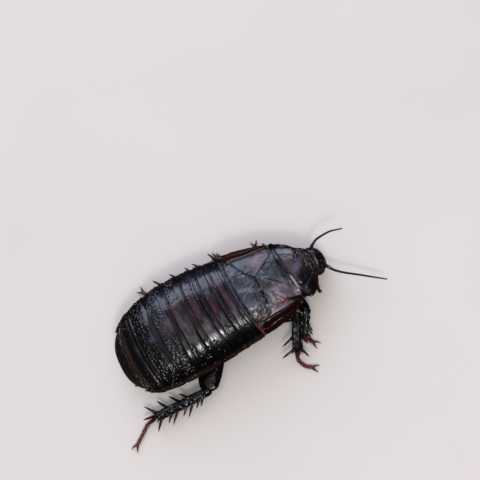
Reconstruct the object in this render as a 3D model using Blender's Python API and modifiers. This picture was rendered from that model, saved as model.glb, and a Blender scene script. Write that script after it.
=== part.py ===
"""A wing-shed wood cockroach, life size, standing still with its legs drawn in.

All sizes are in millimetres and MM turns them into metres. The body lies along X with its
head at +X, its left side at +Y and the soles of its feet at the height 0.
"""
import math
import random

import bmesh
import bpy
import numpy as np
from mathutils import Matrix, Vector

MM = 0.001
SEED = 7

# The origin of the part: the middle of the bounding box, on the floor.
BOX_MIDDLE_X = 3.02
BOX_MIDDLE_Y = -2.2

# The body along its length, from the tail to the neck.
STATION_X = (-17.3, -16.4, -15.5, -12.4, -8.8, -5.3, -2.1, 0.6, 3.1, 5.3, 7.6, 9.9, 12.5, 14.2)
HALF_WIDTH = (3.4, 4.8, 5.75, 7.7, 8.4, 8.7, 8.7, 8.5, 8.15, 7.9, 7.85, 7.45, 6.7, 6.0)
TOP_HEIGHT = (4.0, 4.75, 5.4, 7.2, 8.1, 8.5, 8.6, 8.6, 8.5, 8.4, 8.3, 8.1, 7.9, 7.6)
RIM_HEIGHT = (3.7, 3.75, 3.8, 3.9, 4.0, 4.0, 4.0, 4.0, 4.0, 4.1, 4.2, 4.3, 4.4, 4.5)
BELLY_HEIGHT = (3.3, 3.1, 3.0, 2.8, 2.7, 2.7, 2.7, 2.7, 2.8, 2.9, 2.95, 3.0, 3.1, 3.2)
SIDE_SHIFT = (-0.3, -0.15, 0.0, 0.12, 0.25, 0.35, 0.35, 0.25, 0.1, -0.1, -0.1, -0.3, -0.45, -0.5)
ARCH_POWER = 2.4
ARCH_ROOT = 0.78

# The plates of the back.
PLATE_THICKNESS = 0.55
PLATE_GAP = 0.3
PLATE_STEP = 0.22
PLATE_COLUMNS = 20
TERGITE_ROWS = 4
SHARP_EDGE = math.radians(40.0)

# The hind margins of the metanotum and the seven tergites: where each lies at the middle of
# the back, and how far forward it runs at the left and at the right side.
HIND_X = (5.35, 3.3, 0.8, -2.0, -5.1, -8.7, -12.3, -15.45)
LEFT_FORWARD = (0.0, -0.3, 0.3, 0.15, 0.1, 0.6, 0.3, 1.0)
RIGHT_FORWARD = (1.1, 0.9, 0.95, 0.3, -0.3, 0.5, 0.75, 1.2)
MARGIN_POWER = 2.2
CORNER_SPIKE = 1.65
CORNER_START = 0.84

# The flesh under the plates.
CORE_INSET = PLATE_THICKNESS + 0.42
CORE_SIDE_INSET = PLATE_THICKNESS + 0.75
CORE_EDGE_DROP = 0.15
THORAX_INSET = 2.0
THORAX_SIDE_INSET = 2.2
THORAX_EDGE_DROP = 0.5
TAIL_CORE_INSET = 0.9
BELLY_EDGE = 0.45
BELLY_POWER = 2.6

# The thorax and what is left of the wings. The edges between the mesonotum and the wing
# stubs are given as side positions at lengths along the body.
METANOTUM_FRONT_X = 9.2
METANOTUM_ROWS = 9
METANOTUM_TUCK = 0.9
COVER_LEAD = 0.95
COVER_RUN = 0.6
MESONOTUM_HIND_X = 9.9
MESONOTUM_FRONT_X = 13.9
EDGE_X = (9.9, 11.3, 12.9, 14.2)
LEFT_EDGE = (0.55, 1.2, 2.25, 3.1)
RIGHT_EDGE = (4.9, 5.0, 5.15, 5.3)
STUB_THICKNESS = 0.5
STUB_LIFT = 0.3
STUB_RAISE = 0.2
STUB_UNDER_LIFT = -0.85
STUB_EDGE_GAP = 0.25
STUB_SHARES = {"left": (0.0, 0.16, 0.45, 0.69, 1.0), "right": (0.0, 0.29, 0.4, 0.6, 1.0)}
STUB_REAR_X = {"left": (9.85, 8.84, 7.95, 6.72, 5.15), "right": (9.6, 9.35, 8.4, 7.4, 7.0)}
SIGNS = {"left": 1.0, "right": -1.0}

# The pronotum, in its own frame: X forward from the middle of its hind margin.
PRONOTUM_PLACE = (14.2, -0.45)
PRONOTUM_YAW = math.radians(5.0)
PRONOTUM_LENGTH = 5.75
PRONOTUM_SHARES = (0.0, 0.1, 0.26, 0.43, 0.55, 0.68, 0.83, 1.0)
PRONOTUM_HALF = (5.3, 5.62, 5.7, 5.2, 4.65, 3.9, 3.1, 2.3)
PRONOTUM_CENTRE = (0.3, 0.1, -0.45, -0.68, -0.7, -0.66, -0.6, -0.6)
PRONOTUM_TOP = 7.75
PRONOTUM_FRONT_TOP = 5.8
PRONOTUM_RIM = 4.35
PRONOTUM_FRONT_RIM = 4.25
PRONOTUM_ROWS = 9
TROUGH_DEPTH = 0.28
DENT_DEPTH = 0.3

# The supra-anal plate at the tail.
TAIL_PLATE_REACH = 1.5
TAIL_PLATE_HALF_WIDTH = 4.5
TAIL_PLATE_CENTRE = -0.35
TAIL_PLATE_TOP = 5.05
TAIL_PLATE_RIM = 3.75
TAIL_PLATE_THICKNESS = 0.45

# The head.
HEAD_MIDDLE = (19.2, -0.9, 2.5)
HEAD_RADII = (2.1, 2.4, 2.0)
HEAD_POWER = 2.3
HEAD_YAW = math.radians(3.0)
EYE_YAW = math.radians(90.0)
EYE_PITCH = math.radians(2.0)
EYE_SPAN = (0.36, 0.42)
EYE_BULGE = 0.3
FACE_GAP = 0.28
LABRUM_PITCH = math.radians(-50.0)
JAW_YAW = math.radians(55.0)
JAW_PITCH = math.radians(-48.0)

# The feelers and palps.
ANTENNA_YAW = math.radians(48.0)
ANTENNA_PITCH = math.radians(8.0)
ANTENNA_PATHS = {
    "left": ((21.9, 2.35, 3.9), (23.8, 2.2, 4.4), (26.2, 1.3, 5.0)),
    "right": ((21.6, -3.7, 3.5), (25.3, -6.8, 2.8), (28.4, -9.2, 2.1)),
}
ANTENNA_KNOTS = 18
ANTENNA_RADIUS = 0.4
ANTENNA_TIP_RADIUS = 0.17
SCAPE_RADIUS = 0.5
PALP_RADIUS = 0.3
PALP_SCALES = (0.8, 0.95, 0.8, 1.0, 0.8, 0.95, 1.1, 1.0, 0.55)
PALP_PATHS = {
    "left": ((19.6, 1.7, 0.9), (20.0, 2.4, 1.0), (20.3, 2.6, 1.5), (20.5, 2.3, 2.0)),
    "right": ((18.9, -3.5, 1.0), (18.4, -4.2, 1.1), (17.9, -4.9, 1.5), (17.6, -5.5, 2.1)),
}

# The legs: joints of each leg in millimetres, from the root of the coxa to the claws.
LEGS = {
    "fore_right": {
        "coxa": (16.2, -2.3, 2.05), "trochanter": (13.6, -3.0, 1.5), "knee": (14.8, -6.9, 2.45),
        "ankle": (12.3, -10.1, 1.1),
        "foot": ((12.0, -10.7, 0.45), (12.4, -11.3, 0.3), (12.8, -12.0, 0.27)),
    },
    "fore_left": {
        "coxa": (16.2, 0.6, 2.05), "trochanter": (13.6, 1.6, 1.5), "knee": (15.4, 4.7, 2.0),
        "ankle": (13.1, 6.3, 1.2),
        "foot": ((12.5, 6.8, 0.45), (12.0, 7.4, 0.3), (12.1, 8.1, 0.27)),
    },
    "mid_right": {
        "coxa": (8.9, -1.75, 1.95), "trochanter": (5.9, -3.4, 1.45), "knee": (12.6, -7.1, 2.7),
        "ankle": (9.7, -12.2, 1.7),
        "foot": ((9.1, -13.2, 0.6), (9.5, -14.4, 0.3), (10.7, -15.5, 0.27)),
    },
    "mid_left": {
        "coxa": (8.9, 1.15, 1.95), "trochanter": (5.9, 2.4, 1.45), "knee": (9.8, 6.9, 2.0),
        "ankle": (4.5, 8.7, 1.3),
        "foot": ((3.7, 8.9, 0.5), (2.7, 9.25, 0.3), (1.4, 10.0, 0.27)),
    },
    "hind_right": {
        "coxa": (2.2, -1.9, 1.75), "trochanter": (-1.5, -3.0, 1.4), "knee": (-6.7, -10.6, 1.9),
        "ankle": (-16.1, -9.9, 1.2),
        "foot": ((-17.7, -10.0, 0.5), (-19.8, -11.2, 0.3), (-21.4, -12.3, 0.27)),
    },
    "hind_left": {
        "coxa": (2.0, 0.9, 1.75), "trochanter": (-3.0, 2.95, 1.4), "knee": (3.0, 7.95, 1.8),
        "ankle": (-5.8, 9.5, 1.2),
        "foot": ((-7.0, 9.4, 0.5), (-8.3, 9.9, 0.3), (-9.0, 11.0, 0.27)),
    },
}

# Half widths of the leg segments at their roots, widest places and ends, and how flat the
# thighs are.
LEG_SIZES = {
    "fore": {"coxa": (1.1, 0.85, 0.5), "femur": (0.6, 0.9, 0.6), "tibia": (0.5, 0.52, 0.56), "flat": 0.8},
    "mid": {"coxa": (1.35, 1.05, 0.6), "femur": (0.7, 1.1, 0.65), "tibia": (0.58, 0.68, 0.72), "flat": 0.7},
    "hind": {"coxa": (1.45, 1.1, 0.65), "femur": (0.9, 1.85, 0.85), "tibia": (0.64, 0.76, 0.73), "flat": 0.42},
}
WIDEST_SHARE = 0.42
ROUND_SHARE = 0.17
COXA_FLAT = 0.62
TIBIA_FLAT = 0.85
JOINT_GAP = 0.3
COXA_SETBACK = 0.25
RING_SIDES = 8
TARSUS_RADII = (0.36, 0.34, 0.3)
TARSUS_RINGS = 11
TARSUS_WAIST = 0.75
CLAW_LENGTH = 1.15
CLAW_RADIUS = 0.19
CLAW_SPREAD = math.radians(52.0)

# The spines of the shins: how far along each stands and how long it is, on the right and the
# left of the shin, seen from its knee, and on its upper side.
SPINE_RADIUS = 0.2
SPINE_SINK = 0.25
SPINE_SIDES = 5
SPINE_LEAN = math.radians(43.0)
SPINES = {
    "fore_right": {"right": ((0.93, 1.1),), "left": ((0.6, 1.0), (0.76, 1.0), (0.93, 1.1)), "upper": ((0.7, 0.9),)},
    "fore_left": {"right": ((0.93, 1.0),), "left": ((0.7, 1.0), (0.93, 1.1)), "upper": ()},
    "mid_right": {"right": ((0.66, 2.0), (0.93, 1.85)), "left": ((0.62, 1.2), (0.93, 1.4)), "upper": ((0.78, 1.1),)},
    "mid_left": {"right": ((0.78, 1.3), (0.86, 1.7), (0.95, 2.0)), "left": ((0.6, 1.2), (0.93, 1.3)), "upper": ()},
    "hind_right": {
        "right": ((0.35, 1.2), (0.5, 1.75), (0.73, 1.8), (0.95, 2.1)),
        "left": ((0.18, 1.0), (0.25, 1.0), (0.36, 1.9), (0.47, 1.3), (0.63, 2.0), (0.74, 1.3), (0.93, 1.8)),
        "upper": ((0.45, 1.2), (0.85, 1.2)),
    },
    "hind_left": {
        "right": ((0.27, 2.0), (0.55, 2.1), (0.9, 2.1)),
        "left": ((0.35, 1.3), (0.6, 1.3), (0.93, 1.4)),
        "upper": (),
    },
}

COLLECTION = "wood_cockroach"
FINISHES = {
    "black_cuticle": ((0.012, 0.011, 0.014, 1.0), 0.22),
    "maroon_cuticle": ((0.055, 0.012, 0.012, 1.0), 0.3),
    "under_cuticle": ((0.035, 0.012, 0.008, 1.0), 0.35),
    "leg_cuticle": ((0.016, 0.008, 0.008, 1.0), 0.25),
    "foot_cuticle": ((0.11, 0.018, 0.01, 1.0), 0.35),
    "feeler": ((0.05, 0.018, 0.012, 1.0), 0.5),
    "eye": ((0.008, 0.008, 0.01, 1.0), 0.12),
}


def smooth_between(x, knots, values):
    """Monotone cubic through the values at the knots."""
    x = np.atleast_1d(np.asarray(x, float))
    knots = np.asarray(knots, float)
    values = np.asarray(values, float)
    step = np.diff(knots)
    slope = np.diff(values) / step
    tangent = np.zeros_like(values)
    same_way = slope[:-1] * slope[1:] > 0
    total = slope[:-1] + slope[1:]
    tangent[1:-1][same_way] = (2 * slope[:-1] * slope[1:])[same_way] / total[same_way]
    tangent[0] = slope[0]
    tangent[-1] = slope[-1]
    cell = np.clip(np.searchsorted(knots, x) - 1, 0, len(step) - 1)
    t = np.clip((x - knots[cell]) / step[cell], -0.5, 1.5)
    start = values[cell] * (2 * t**3 - 3 * t**2 + 1) + tangent[cell] * step[cell] * (t**3 - 2 * t**2 + t)
    end = values[cell + 1] * (3 * t**2 - 2 * t**3) + tangent[cell + 1] * step[cell] * (t**3 - t**2)
    return start + end


def curve_value(x, knots, values):
    """The curve through the values, kept level before the first and past the last knot."""
    return float(smooth_between(min(max(x, knots[0]), knots[-1]), knots, values)[0])


def along_body(x, values):
    """One measure of the body, such as its half width, at a length x."""
    return float(smooth_between(x, STATION_X, values)[0])


def arch(across):
    """Height of the back over its rim, as a share, at a share of the half width."""
    return (1.0 - min(1.0, abs(across)) ** ARCH_POWER) ** ARCH_ROOT


def bump(value, middle, spread):
    """A smooth rise of height 1 at the middle that fades out over the spread."""
    return math.exp(-(((value - middle) / spread) ** 2))


def back_point(x, across, lift=0.0, side_inset=0.0):
    """A point of the back, or of the same arch raised or drawn in at its sides."""
    rim = along_body(x, RIM_HEIGHT)
    top = along_body(x, TOP_HEIGHT) + lift
    side = along_body(x, SIDE_SHIFT) + (along_body(x, HALF_WIDTH) - side_inset) * across
    return Vector((x, side, rim + (top - rim) * arch(across)))


def make_finish(name):
    """A Principled material of one named finish."""
    colour, roughness = FINISHES[name]
    material = bpy.data.materials.new(name)
    material.use_nodes = True
    shader = material.node_tree.nodes["Principled BSDF"]
    shader.inputs["Base Color"].default_value = colour
    shader.inputs["Roughness"].default_value = roughness
    shader.inputs["Metallic"].default_value = 0.0
    return material


def add_object(name, mesh, origin, finish):
    """Puts a mesh whose points are body millimetres into the part, with its own origin."""
    mesh.transform(Matrix.Translation(-Vector(origin)))
    mesh.transform(Matrix.Scale(MM, 4))
    mesh.shade_smooth()
    mesh.set_sharp_from_angle(angle=SHARP_EDGE)
    part = bpy.data.objects.new(name, mesh)
    part.location = Vector(origin) * MM
    part.parent = root
    mesh.materials.append(finishes[finish])
    collection.objects.link(part)
    return part


def mesh_from(name, body):
    """A mesh from a bmesh, which is freed."""
    mesh = bpy.data.meshes.new(name)
    body.to_mesh(mesh)
    body.free()
    return mesh


def add_plate(name, point, rows, columns, origin, finish, thickness=PLATE_THICKNESS):
    """A curved plate: a grid set on a surface point(along, across), made solid inwards."""
    body = bmesh.new()
    bmesh.ops.create_grid(body, x_segments=rows, y_segments=columns, size=1.0)
    for vertex in body.verts:
        along = (vertex.co.x + 1.0) / 2.0
        across = math.sin(vertex.co.y * math.pi / 2.0)
        vertex.co = point(along, across)
    plate = add_object(name, mesh_from(name, body), origin, finish)
    shell = plate.modifiers.new("shell", "SOLIDIFY")
    shell.thickness = thickness * MM
    shell.offset = -1.0
    return plate


def loft(rings):
    """A closed bmesh through rings of equally many points, with flat ends."""
    body = bmesh.new()
    loops = [[body.verts.new(point) for point in ring] for ring in rings]
    sides = len(rings[0])
    for first, second in zip(loops, loops[1:]):
        for index in range(sides):
            following = (index + 1) % sides
            body.faces.new((first[index], first[following], second[following], second[index]))
    body.faces.new(list(reversed(loops[0])))
    body.faces.new(loops[-1])
    bmesh.ops.recalc_face_normals(body, faces=body.faces)
    return body


def limb_rings(path, radii, flatness):
    """Rings along a path of points, elliptic, flat by the flatness across the vertical."""
    rings = []
    last = len(path) - 1
    for index, (place, radius) in enumerate(zip(path, radii)):
        ahead = path[min(last, index + 1)] - path[max(0, index - 1)]
        ahead.normalize()
        side = ahead.cross(Vector((0, 0, 1))).normalized()
        above = side.cross(ahead).normalized()
        ring = []
        for step in range(RING_SIDES):
            angle = 2.0 * math.pi * (step + 0.5) / RING_SIDES
            out = side * math.cos(angle) + above * (flatness * math.sin(angle))
            ring.append(place + out * radius)
        rings.append(ring)
    return rings


def leg_segment(start, end, sizes, flatness):
    """A closed bmesh of one leg segment between two points, with rounded ends."""
    length = (end - start).length
    near = min(0.5 * sizes[0], ROUND_SHARE * length)
    far = min(0.5 * sizes[2], ROUND_SHARE * length)
    distances = [0.0, 0.24 * near, near]
    distances += [length * share for share in (0.22, 0.4, 0.58, 0.76)]
    distances += [length - far, length - 0.24 * far, length]
    caps = (0.55, 0.8, 1.0, 1.0, 1.0, 1.0, 1.0, 1.0, 0.8, 0.55)
    path = []
    radii = []
    for distance, cap in zip(distances, caps):
        share = distance / length
        path.append(start.lerp(end, share))
        radii.append(cap * curve_value(share, (0.0, WIDEST_SHARE, 1.0), sizes))
    return loft(limb_rings(path, radii, flatness))


def spine_mesh(place, heading, length):
    """A tapered spine from a place along a heading."""
    body = bmesh.new()
    turn = Vector((0, 0, 1)).rotation_difference(heading).to_matrix().to_4x4()
    bmesh.ops.create_cone(
        body, cap_ends=True, segments=SPINE_SIDES, radius1=SPINE_RADIUS, radius2=SPINE_RADIUS * 0.16,
        depth=length, matrix=Matrix.Translation(place) @ turn @ Matrix.Translation((0, 0, length / 2.0)),
    )
    return mesh_from("spine", body)


def keep_largest(mesh):
    """Drops all but the largest closed surface of a mesh."""
    body = bmesh.new()
    body.from_mesh(mesh)
    left = set(body.faces)
    groups = []
    while left:
        stack = [left.pop()]
        group = list(stack)
        while stack:
            for edge in stack.pop().edges:
                for face in edge.link_faces:
                    if face in left:
                        left.remove(face)
                        group.append(face)
                        stack.append(face)
        groups.append(group)
    groups.sort(key=lambda group: -sum(face.calc_area() for face in group))
    for group in groups[1:]:
        bmesh.ops.delete(body, geom=group, context="FACES")
    loose = [vertex for vertex in body.verts if not vertex.link_faces]
    bmesh.ops.delete(body, geom=loose, context="VERTS")
    body.to_mesh(mesh)
    body.free()
    return mesh


def fuse(node, meshes):
    """Joins closed meshes into a node with one Boolean union and keeps its largest surface."""
    extras = bpy.data.collections.new(node.name + "_extras")
    for index, mesh in enumerate(meshes):
        mesh.transform(Matrix.Translation(-Vector(node.location) / MM))
        mesh.transform(Matrix.Scale(MM, 4))
        extra = bpy.data.objects.new(f"{node.name}_extra_{index}", mesh)
        extra.parent = root
        extra.location = node.location
        extras.objects.link(extra)
    bpy.context.scene.collection.children.link(extras)
    union = node.modifiers.new("union", "BOOLEAN")
    union.operation = "UNION"
    union.operand_type = "COLLECTION"
    union.collection = extras
    union.solver = "EXACT"
    bpy.context.view_layer.update()
    evaluated = node.evaluated_get(bpy.context.evaluated_depsgraph_get())
    joined = bpy.data.meshes.new_from_object(evaluated)
    node.modifiers.clear()
    node.data = keep_largest(joined)
    for extra in list(extras.objects):
        bpy.data.objects.remove(extra)
    bpy.data.collections.remove(extras)


def add_tube(name, points, radii, finish):
    """A tapered feeler or palp: a poly curve with a round bevel and closed ends."""
    curve = bpy.data.curves.new(name, "CURVE")
    curve.dimensions = "3D"
    curve.bevel_depth = MM
    curve.bevel_resolution = 2
    curve.use_fill_caps = True
    origin = Vector(points[0])
    spline = curve.splines.new("POLY")
    spline.points.add(len(points) - 1)
    for knot, point, radius in zip(spline.points, points, radii):
        knot.co = (*((Vector(point) - origin) * MM), 1.0)
        knot.radius = radius
    tube = bpy.data.objects.new(name, curve)
    tube.location = origin * MM
    tube.parent = root
    curve.materials.append(finishes[finish])
    collection.objects.link(tube)
    return tube


def curve_points(knots, count):
    """Evenly numbered points of one smooth curve through the knots."""
    knots = np.asarray(knots, float)
    steps = np.linalg.norm(np.diff(knots, axis=0), axis=1)
    reach = np.concatenate(([0.0], np.cumsum(steps)))
    places = np.linspace(0.0, reach[-1], count)
    columns = [smooth_between(places, reach, knots[:, axis]) for axis in range(3)]
    return [Vector(row) for row in np.stack(columns, 1)]


def hind_margin(number, across):
    """Where the hind margin of a plate of the back lies: 0 is the metanotum, 7 the last."""
    forward = LEFT_FORWARD[number] if across > 0 else RIGHT_FORWARD[number]
    x = HIND_X[number] + forward * abs(across) ** MARGIN_POWER
    if number == len(HIND_X) - 1:
        corner = max(0.0, (abs(across) - CORNER_START) / (1.0 - CORNER_START))
        x -= CORNER_SPIKE * corner**1.5
    return x


def add_tergites():
    """The seven plates of the back, each a band that rises to its hind margin."""
    for number in range(1, len(HIND_X)):
        gap = PLATE_GAP * (1.8 if number == 1 else 1.0)

        def point(along, across, number=number, gap=gap):
            start = hind_margin(number - 1, across) - gap
            end = hind_margin(number, across)
            return back_point(end + (start - end) * along, across, lift=PLATE_STEP * (1.0 - along))

        middle = back_point((HIND_X[number - 1] + HIND_X[number]) / 2.0, 0.0)
        add_plate(f"tergite_{number}", point, TERGITE_ROWS, PLATE_COLUMNS, middle, "black_cuticle")


def add_tail_plate():
    """The supra-anal plate: a rounded lobe that closes the back at the tail."""
    last = len(HIND_X) - 1

    def point(along, across):
        start = hind_margin(last, 0.75 * across) - PLATE_GAP
        reach = TAIL_PLATE_REACH * math.sqrt(max(0.0, 1.0 - abs(across) ** 5))
        side = TAIL_PLATE_CENTRE + TAIL_PLATE_HALF_WIDTH * across
        rise = (TAIL_PLATE_TOP - TAIL_PLATE_RIM) * arch(across) * (1.0 - 0.7 * (1.0 - along) ** 2)
        return Vector((start - reach * (1.0 - along), side, TAIL_PLATE_RIM + rise))

    origin = (HIND_X[last], 0, TAIL_PLATE_TOP)
    add_plate("supra_anal_plate", point, 4, 14, origin, "black_cuticle", TAIL_PLATE_THICKNESS)


def core_ring(x, side_gap, dip, inset=CORE_INSET, side_inset=CORE_SIDE_INSET, edge_drop=CORE_EDGE_DROP):
    """A section of the body under its plates: a dome above a wide shallow belly."""
    towards_tail = max(0.0, min(1.0, (-9.0 - x) / 6.0))
    inset += TAIL_CORE_INSET * towards_tail
    side_inset += 0.5 * TAIL_CORE_INSET * towards_tail
    ring = []
    belly = along_body(x, BELLY_HEIGHT) + dip
    centre = along_body(x, SIDE_SHIFT)
    belly_half = along_body(x, HALF_WIDTH) - side_gap
    edge = along_body(x, RIM_HEIGHT) - PLATE_GAP - edge_drop
    for step in range(9):
        across = math.sin(math.radians(90.0 * (step / 4.0 - 1.0)))
        low = edge - BELLY_EDGE
        height = low - (low - belly) * (1.0 - abs(across) ** BELLY_POWER)
        ring.append(Vector((x, centre + belly_half * across, height)))
    ring.append(Vector((x, centre + belly_half, edge)))
    for step in range(11):
        across = math.sin(math.radians(90.0 * (1.0 - step / 5.0)))
        place = back_point(x, across, lift=-inset, side_inset=side_inset)
        if step in (0, 10):
            place.z = edge
        ring.append(place)
    ring.append(Vector((x, centre - belly_half, edge)))
    return ring


def squeezed_ring(model, x, centre, half, low, high):
    """The shape of a section, fitted into a given width and height at another length."""
    sides = [place.y for place in model]
    heights = [place.z for place in model]
    middle = (min(sides) + max(sides)) / 2.0
    across = half / (max(sides) - middle)
    up = (high - low) / (max(heights) - min(heights))
    ring = []
    for place in model:
        ring.append(Vector((x, centre + (place.y - middle) * across, low + (place.z - min(heights)) * up)))
    return ring


def add_abdomen():
    """The belly with its seven sternites, raised as bands, and the flesh under the back."""
    rings = []
    bounds = (HIND_X[0] - 2.5 * PLATE_GAP,) + HIND_X[1:]
    for front, hind in zip(bounds, bounds[1:]):
        rings.append(core_ring(front, 0.55, 0.16))
        rings.append(core_ring(front - 0.3, 0.4, 0.0))
        rings.append(core_ring(hind + (0.35 if hind > bounds[-1] else 0.75), 0.35, 0.0))
    last = core_ring(bounds[-1] + 0.5, 1.0, 0.1)
    rings.append(last)
    for x, half, low, high in ((-15.3, 2.7, 2.85, 3.4), (-16.3, 2.2, 2.95, 3.25), (-16.55, 1.6, 3.0, 3.2)):
        rings.append(squeezed_ring(last, x, TAIL_PLATE_CENTRE, half, low, high))
    add_object("abdomen_underside", mesh_from("abdomen_underside", loft(rings)), (-5.0, 0, 4.0), "under_cuticle")


def stub_inner_edge(side, x):
    """Side position of the inner edge of a wing stub, or of the mesonotum beside it."""
    return SIGNS[side] * curve_value(x, EDGE_X, LEFT_EDGE if side == "left" else RIGHT_EDGE)


def cover_edge_x(y):
    """How far back the mesonotum or a wing stub lies over the metanotum at a side position."""
    side = "left" if y > 0 else "right"
    inner = stub_inner_edge(side, MESONOTUM_HIND_X)
    outer = SIGNS[side] * along_body(HIND_X[0], HALF_WIDTH)
    return curve_value((y - inner) / (outer - inner), STUB_SHARES[side], STUB_REAR_X[side])


def add_metanotum():
    """The hind plate of the thorax, lower where the mesonotum and the wing stubs lie over it."""

    def point(along, across):
        x = hind_margin(0, across) * (1.0 - along) + METANOTUM_FRONT_X * along
        ahead = x - cover_edge_x(back_point(x, across).y) + COVER_LEAD
        covered = min(1.0, max(0.0, ahead / COVER_RUN))
        lift = PLATE_STEP * (1.0 - along) + (STUB_UNDER_LIFT - PLATE_STEP) * covered
        place = back_point(x, across, side_inset=0.2 + METANOTUM_TUCK * covered)
        place.z += lift * (0.2 + 0.8 * arch(across))
        return place

    add_plate("metanotum", point, METANOTUM_ROWS, PLATE_COLUMNS, (HIND_X[0], 0, 8.0), "black_cuticle")


def front_line(x, y):
    """A length turned with the pronotum at a side position, to run along its hind margin."""
    return x - math.tan(PRONOTUM_YAW) * (y - PRONOTUM_PLACE[1])


def add_mesonotum():
    """The middle plate of the thorax, a wedge between the two wing stubs."""

    def point(along, across):
        x = MESONOTUM_HIND_X + (MESONOTUM_FRONT_X - MESONOTUM_HIND_X) * along
        if across < 0:
            x -= 0.35 * across * across * (1.0 - along)
        left = stub_inner_edge("left", x) - STUB_EDGE_GAP
        right = stub_inner_edge("right", x) + STUB_EDGE_GAP
        y = (left + right) / 2.0 + (left - right) / 2.0 * across
        x = x * (1.0 - along) + front_line(x, y) * along
        share = (y - along_body(x, SIDE_SHIFT)) / along_body(x, HALF_WIDTH)
        return back_point(x, share, lift=PLATE_STEP * (1.0 - along))

    add_plate("mesonotum", point, 6, 12, (MESONOTUM_HIND_X, -2.0, 8.0), "black_cuticle")


def add_wing_stub(side):
    """What is left of a shed fore wing: a leathery flap from the shoulder to a torn edge."""
    sign = SIGNS[side]

    def point(along, across):
        share = (across + 1.0) / 2.0
        rear = curve_value(share, STUB_SHARES[side], STUB_REAR_X[side])
        front_inner = stub_inner_edge(side, MESONOTUM_FRONT_X)
        front_outer = sign * along_body(MESONOTUM_FRONT_X, HALF_WIDTH)
        front_y = front_inner + (front_outer - front_inner) * share
        front = front_line(MESONOTUM_FRONT_X - 0.15, front_y) + 0.3 * share
        x = rear + (front - rear) * along
        inner = stub_inner_edge(side, x) + sign * STUB_EDGE_GAP
        outer = along_body(x, SIDE_SHIFT) + sign * 0.995 * along_body(x, HALF_WIDTH)
        y = inner + (outer - inner) * share
        place = back_point(x, (y - along_body(x, SIDE_SHIFT)) / along_body(x, HALF_WIDTH))
        place.z += STUB_LIFT * (1.0 - share) + STUB_RAISE
        return place

    origin = (13.0, 5.0 * sign, 6.0)
    stub = add_plate(f"wing_stub_{side}", point, 7, 11, origin, "maroon_cuticle", STUB_THICKNESS)
    if sign < 0:
        stub.data.flip_normals()


def add_pronotum():
    """The shield behind the head, turned a little, falling to its front and sides."""
    turn = Matrix.Rotation(PRONOTUM_YAW, 4, "Z")
    base = Vector((PRONOTUM_PLACE[0], PRONOTUM_PLACE[1], 0.0))

    def point(along, across):
        half = curve_value(along, PRONOTUM_SHARES, PRONOTUM_HALF)
        side = curve_value(along, PRONOTUM_SHARES, PRONOTUM_CENTRE) + half * across
        hind = 0.15 + 0.3 * abs(across) ** 4
        front = PRONOTUM_LENGTH - 0.9 * abs(across) ** 3
        x = hind * (1.0 - along) + front * along
        top = PRONOTUM_TOP + (PRONOTUM_FRONT_TOP - PRONOTUM_TOP) * along**1.6
        rim = PRONOTUM_RIM + (PRONOTUM_FRONT_RIM - PRONOTUM_RIM) * along
        trough = TROUGH_DEPTH * bump(abs(across), 0.86, 0.07) * min(1.0, 4.0 * along)
        dent = DENT_DEPTH * bump(along, 0.7, 0.16) * bump(across, 0.0, 0.5)
        height = rim + (top - rim) * arch(across) - trough - dent
        return base + turn @ Vector((x, side, height))

    origin = (*PRONOTUM_PLACE, 7.0)
    add_plate("pronotum", point, PRONOTUM_ROWS, PLATE_COLUMNS + 2, origin, "black_cuticle")


def add_thorax():
    """The flesh and the breast plates under the thorax, with the neck."""
    rings = []
    sections = ((4.95, 1.0, 0.1), (5.5, 0.7, 0.0), (8.8, 0.7, 0.0), (9.4, 0.9, 0.25), (10.0, 0.7, 0.0),
                (12.4, 0.8, 0.0), (13.0, 1.1, 0.25))
    for x, side_gap, dip in sections:
        rings.append(core_ring(x, side_gap, dip, THORAX_INSET, THORAX_SIDE_INSET, THORAX_EDGE_DROP))
    neck = ((13.6, 4.4, 3.1, 6.1), (15.0, 4.0, 3.1, 6.2), (16.2, 2.9, 3.2, 5.3), (16.6, 1.4, 3.4, 4.5))
    model = rings[-1]
    for x, half, low, high in neck:
        rings.append(squeezed_ring(model, x, -0.6, half, low, high))
    add_object("thorax_underside", mesh_from("thorax_underside", loft(rings)), (10.0, 0, 4.0), "under_cuticle")


def head_surface(yaw, pitch, out=0.0):
    """A point over the head at two angles from its forward axis, raised by a distance."""
    heading = Vector((math.cos(pitch) * math.cos(yaw), math.cos(pitch) * math.sin(yaw), math.sin(pitch)))
    size = sum(abs(part) ** HEAD_POWER for part in heading) ** (1.0 / HEAD_POWER)
    place = Vector([part / size * radius for part, radius in zip(heading, HEAD_RADII)])
    normal = Vector([part / radius for part, radius in zip(heading, HEAD_RADII)]).normalized()
    if place.z < 0:
        place.y *= 1.0 - 0.16 * (place.z / HEAD_RADII[2]) ** 2
    turn = Matrix.Rotation(HEAD_YAW, 4, "Z")
    return Matrix.Translation(HEAD_MIDDLE) @ turn @ (place + normal * out)


def add_head():
    """The head capsule, narrower towards the mouth."""
    body = bmesh.new()
    bmesh.ops.create_uvsphere(body, u_segments=20, v_segments=14, radius=1.0)
    for vertex in body.verts:
        direction = vertex.co.normalized()
        yaw = math.atan2(direction.y, direction.x)
        pitch = math.asin(max(-1.0, min(1.0, direction.z)))
        vertex.co = head_surface(yaw, pitch)
    add_object("head", mesh_from("head", body), HEAD_MIDDLE, "black_cuticle")


def add_lens(name, yaw, pitch, span, bulge, finish, thickness):
    """A lens set on the head: an eye, or a plate of the mouth."""
    body = bmesh.new()
    bmesh.ops.create_uvsphere(body, u_segments=14, v_segments=8, radius=1.0)
    for vertex in body.verts:
        rise = vertex.co.z
        out = FACE_GAP + bulge * max(0.0, rise) + 0.5 * thickness * (1.0 + rise)
        vertex.co = head_surface(yaw + span[0] * vertex.co.x, pitch + span[1] * vertex.co.y, out)
    add_object(name, mesh_from(name, body), head_surface(yaw, pitch), finish)


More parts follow.
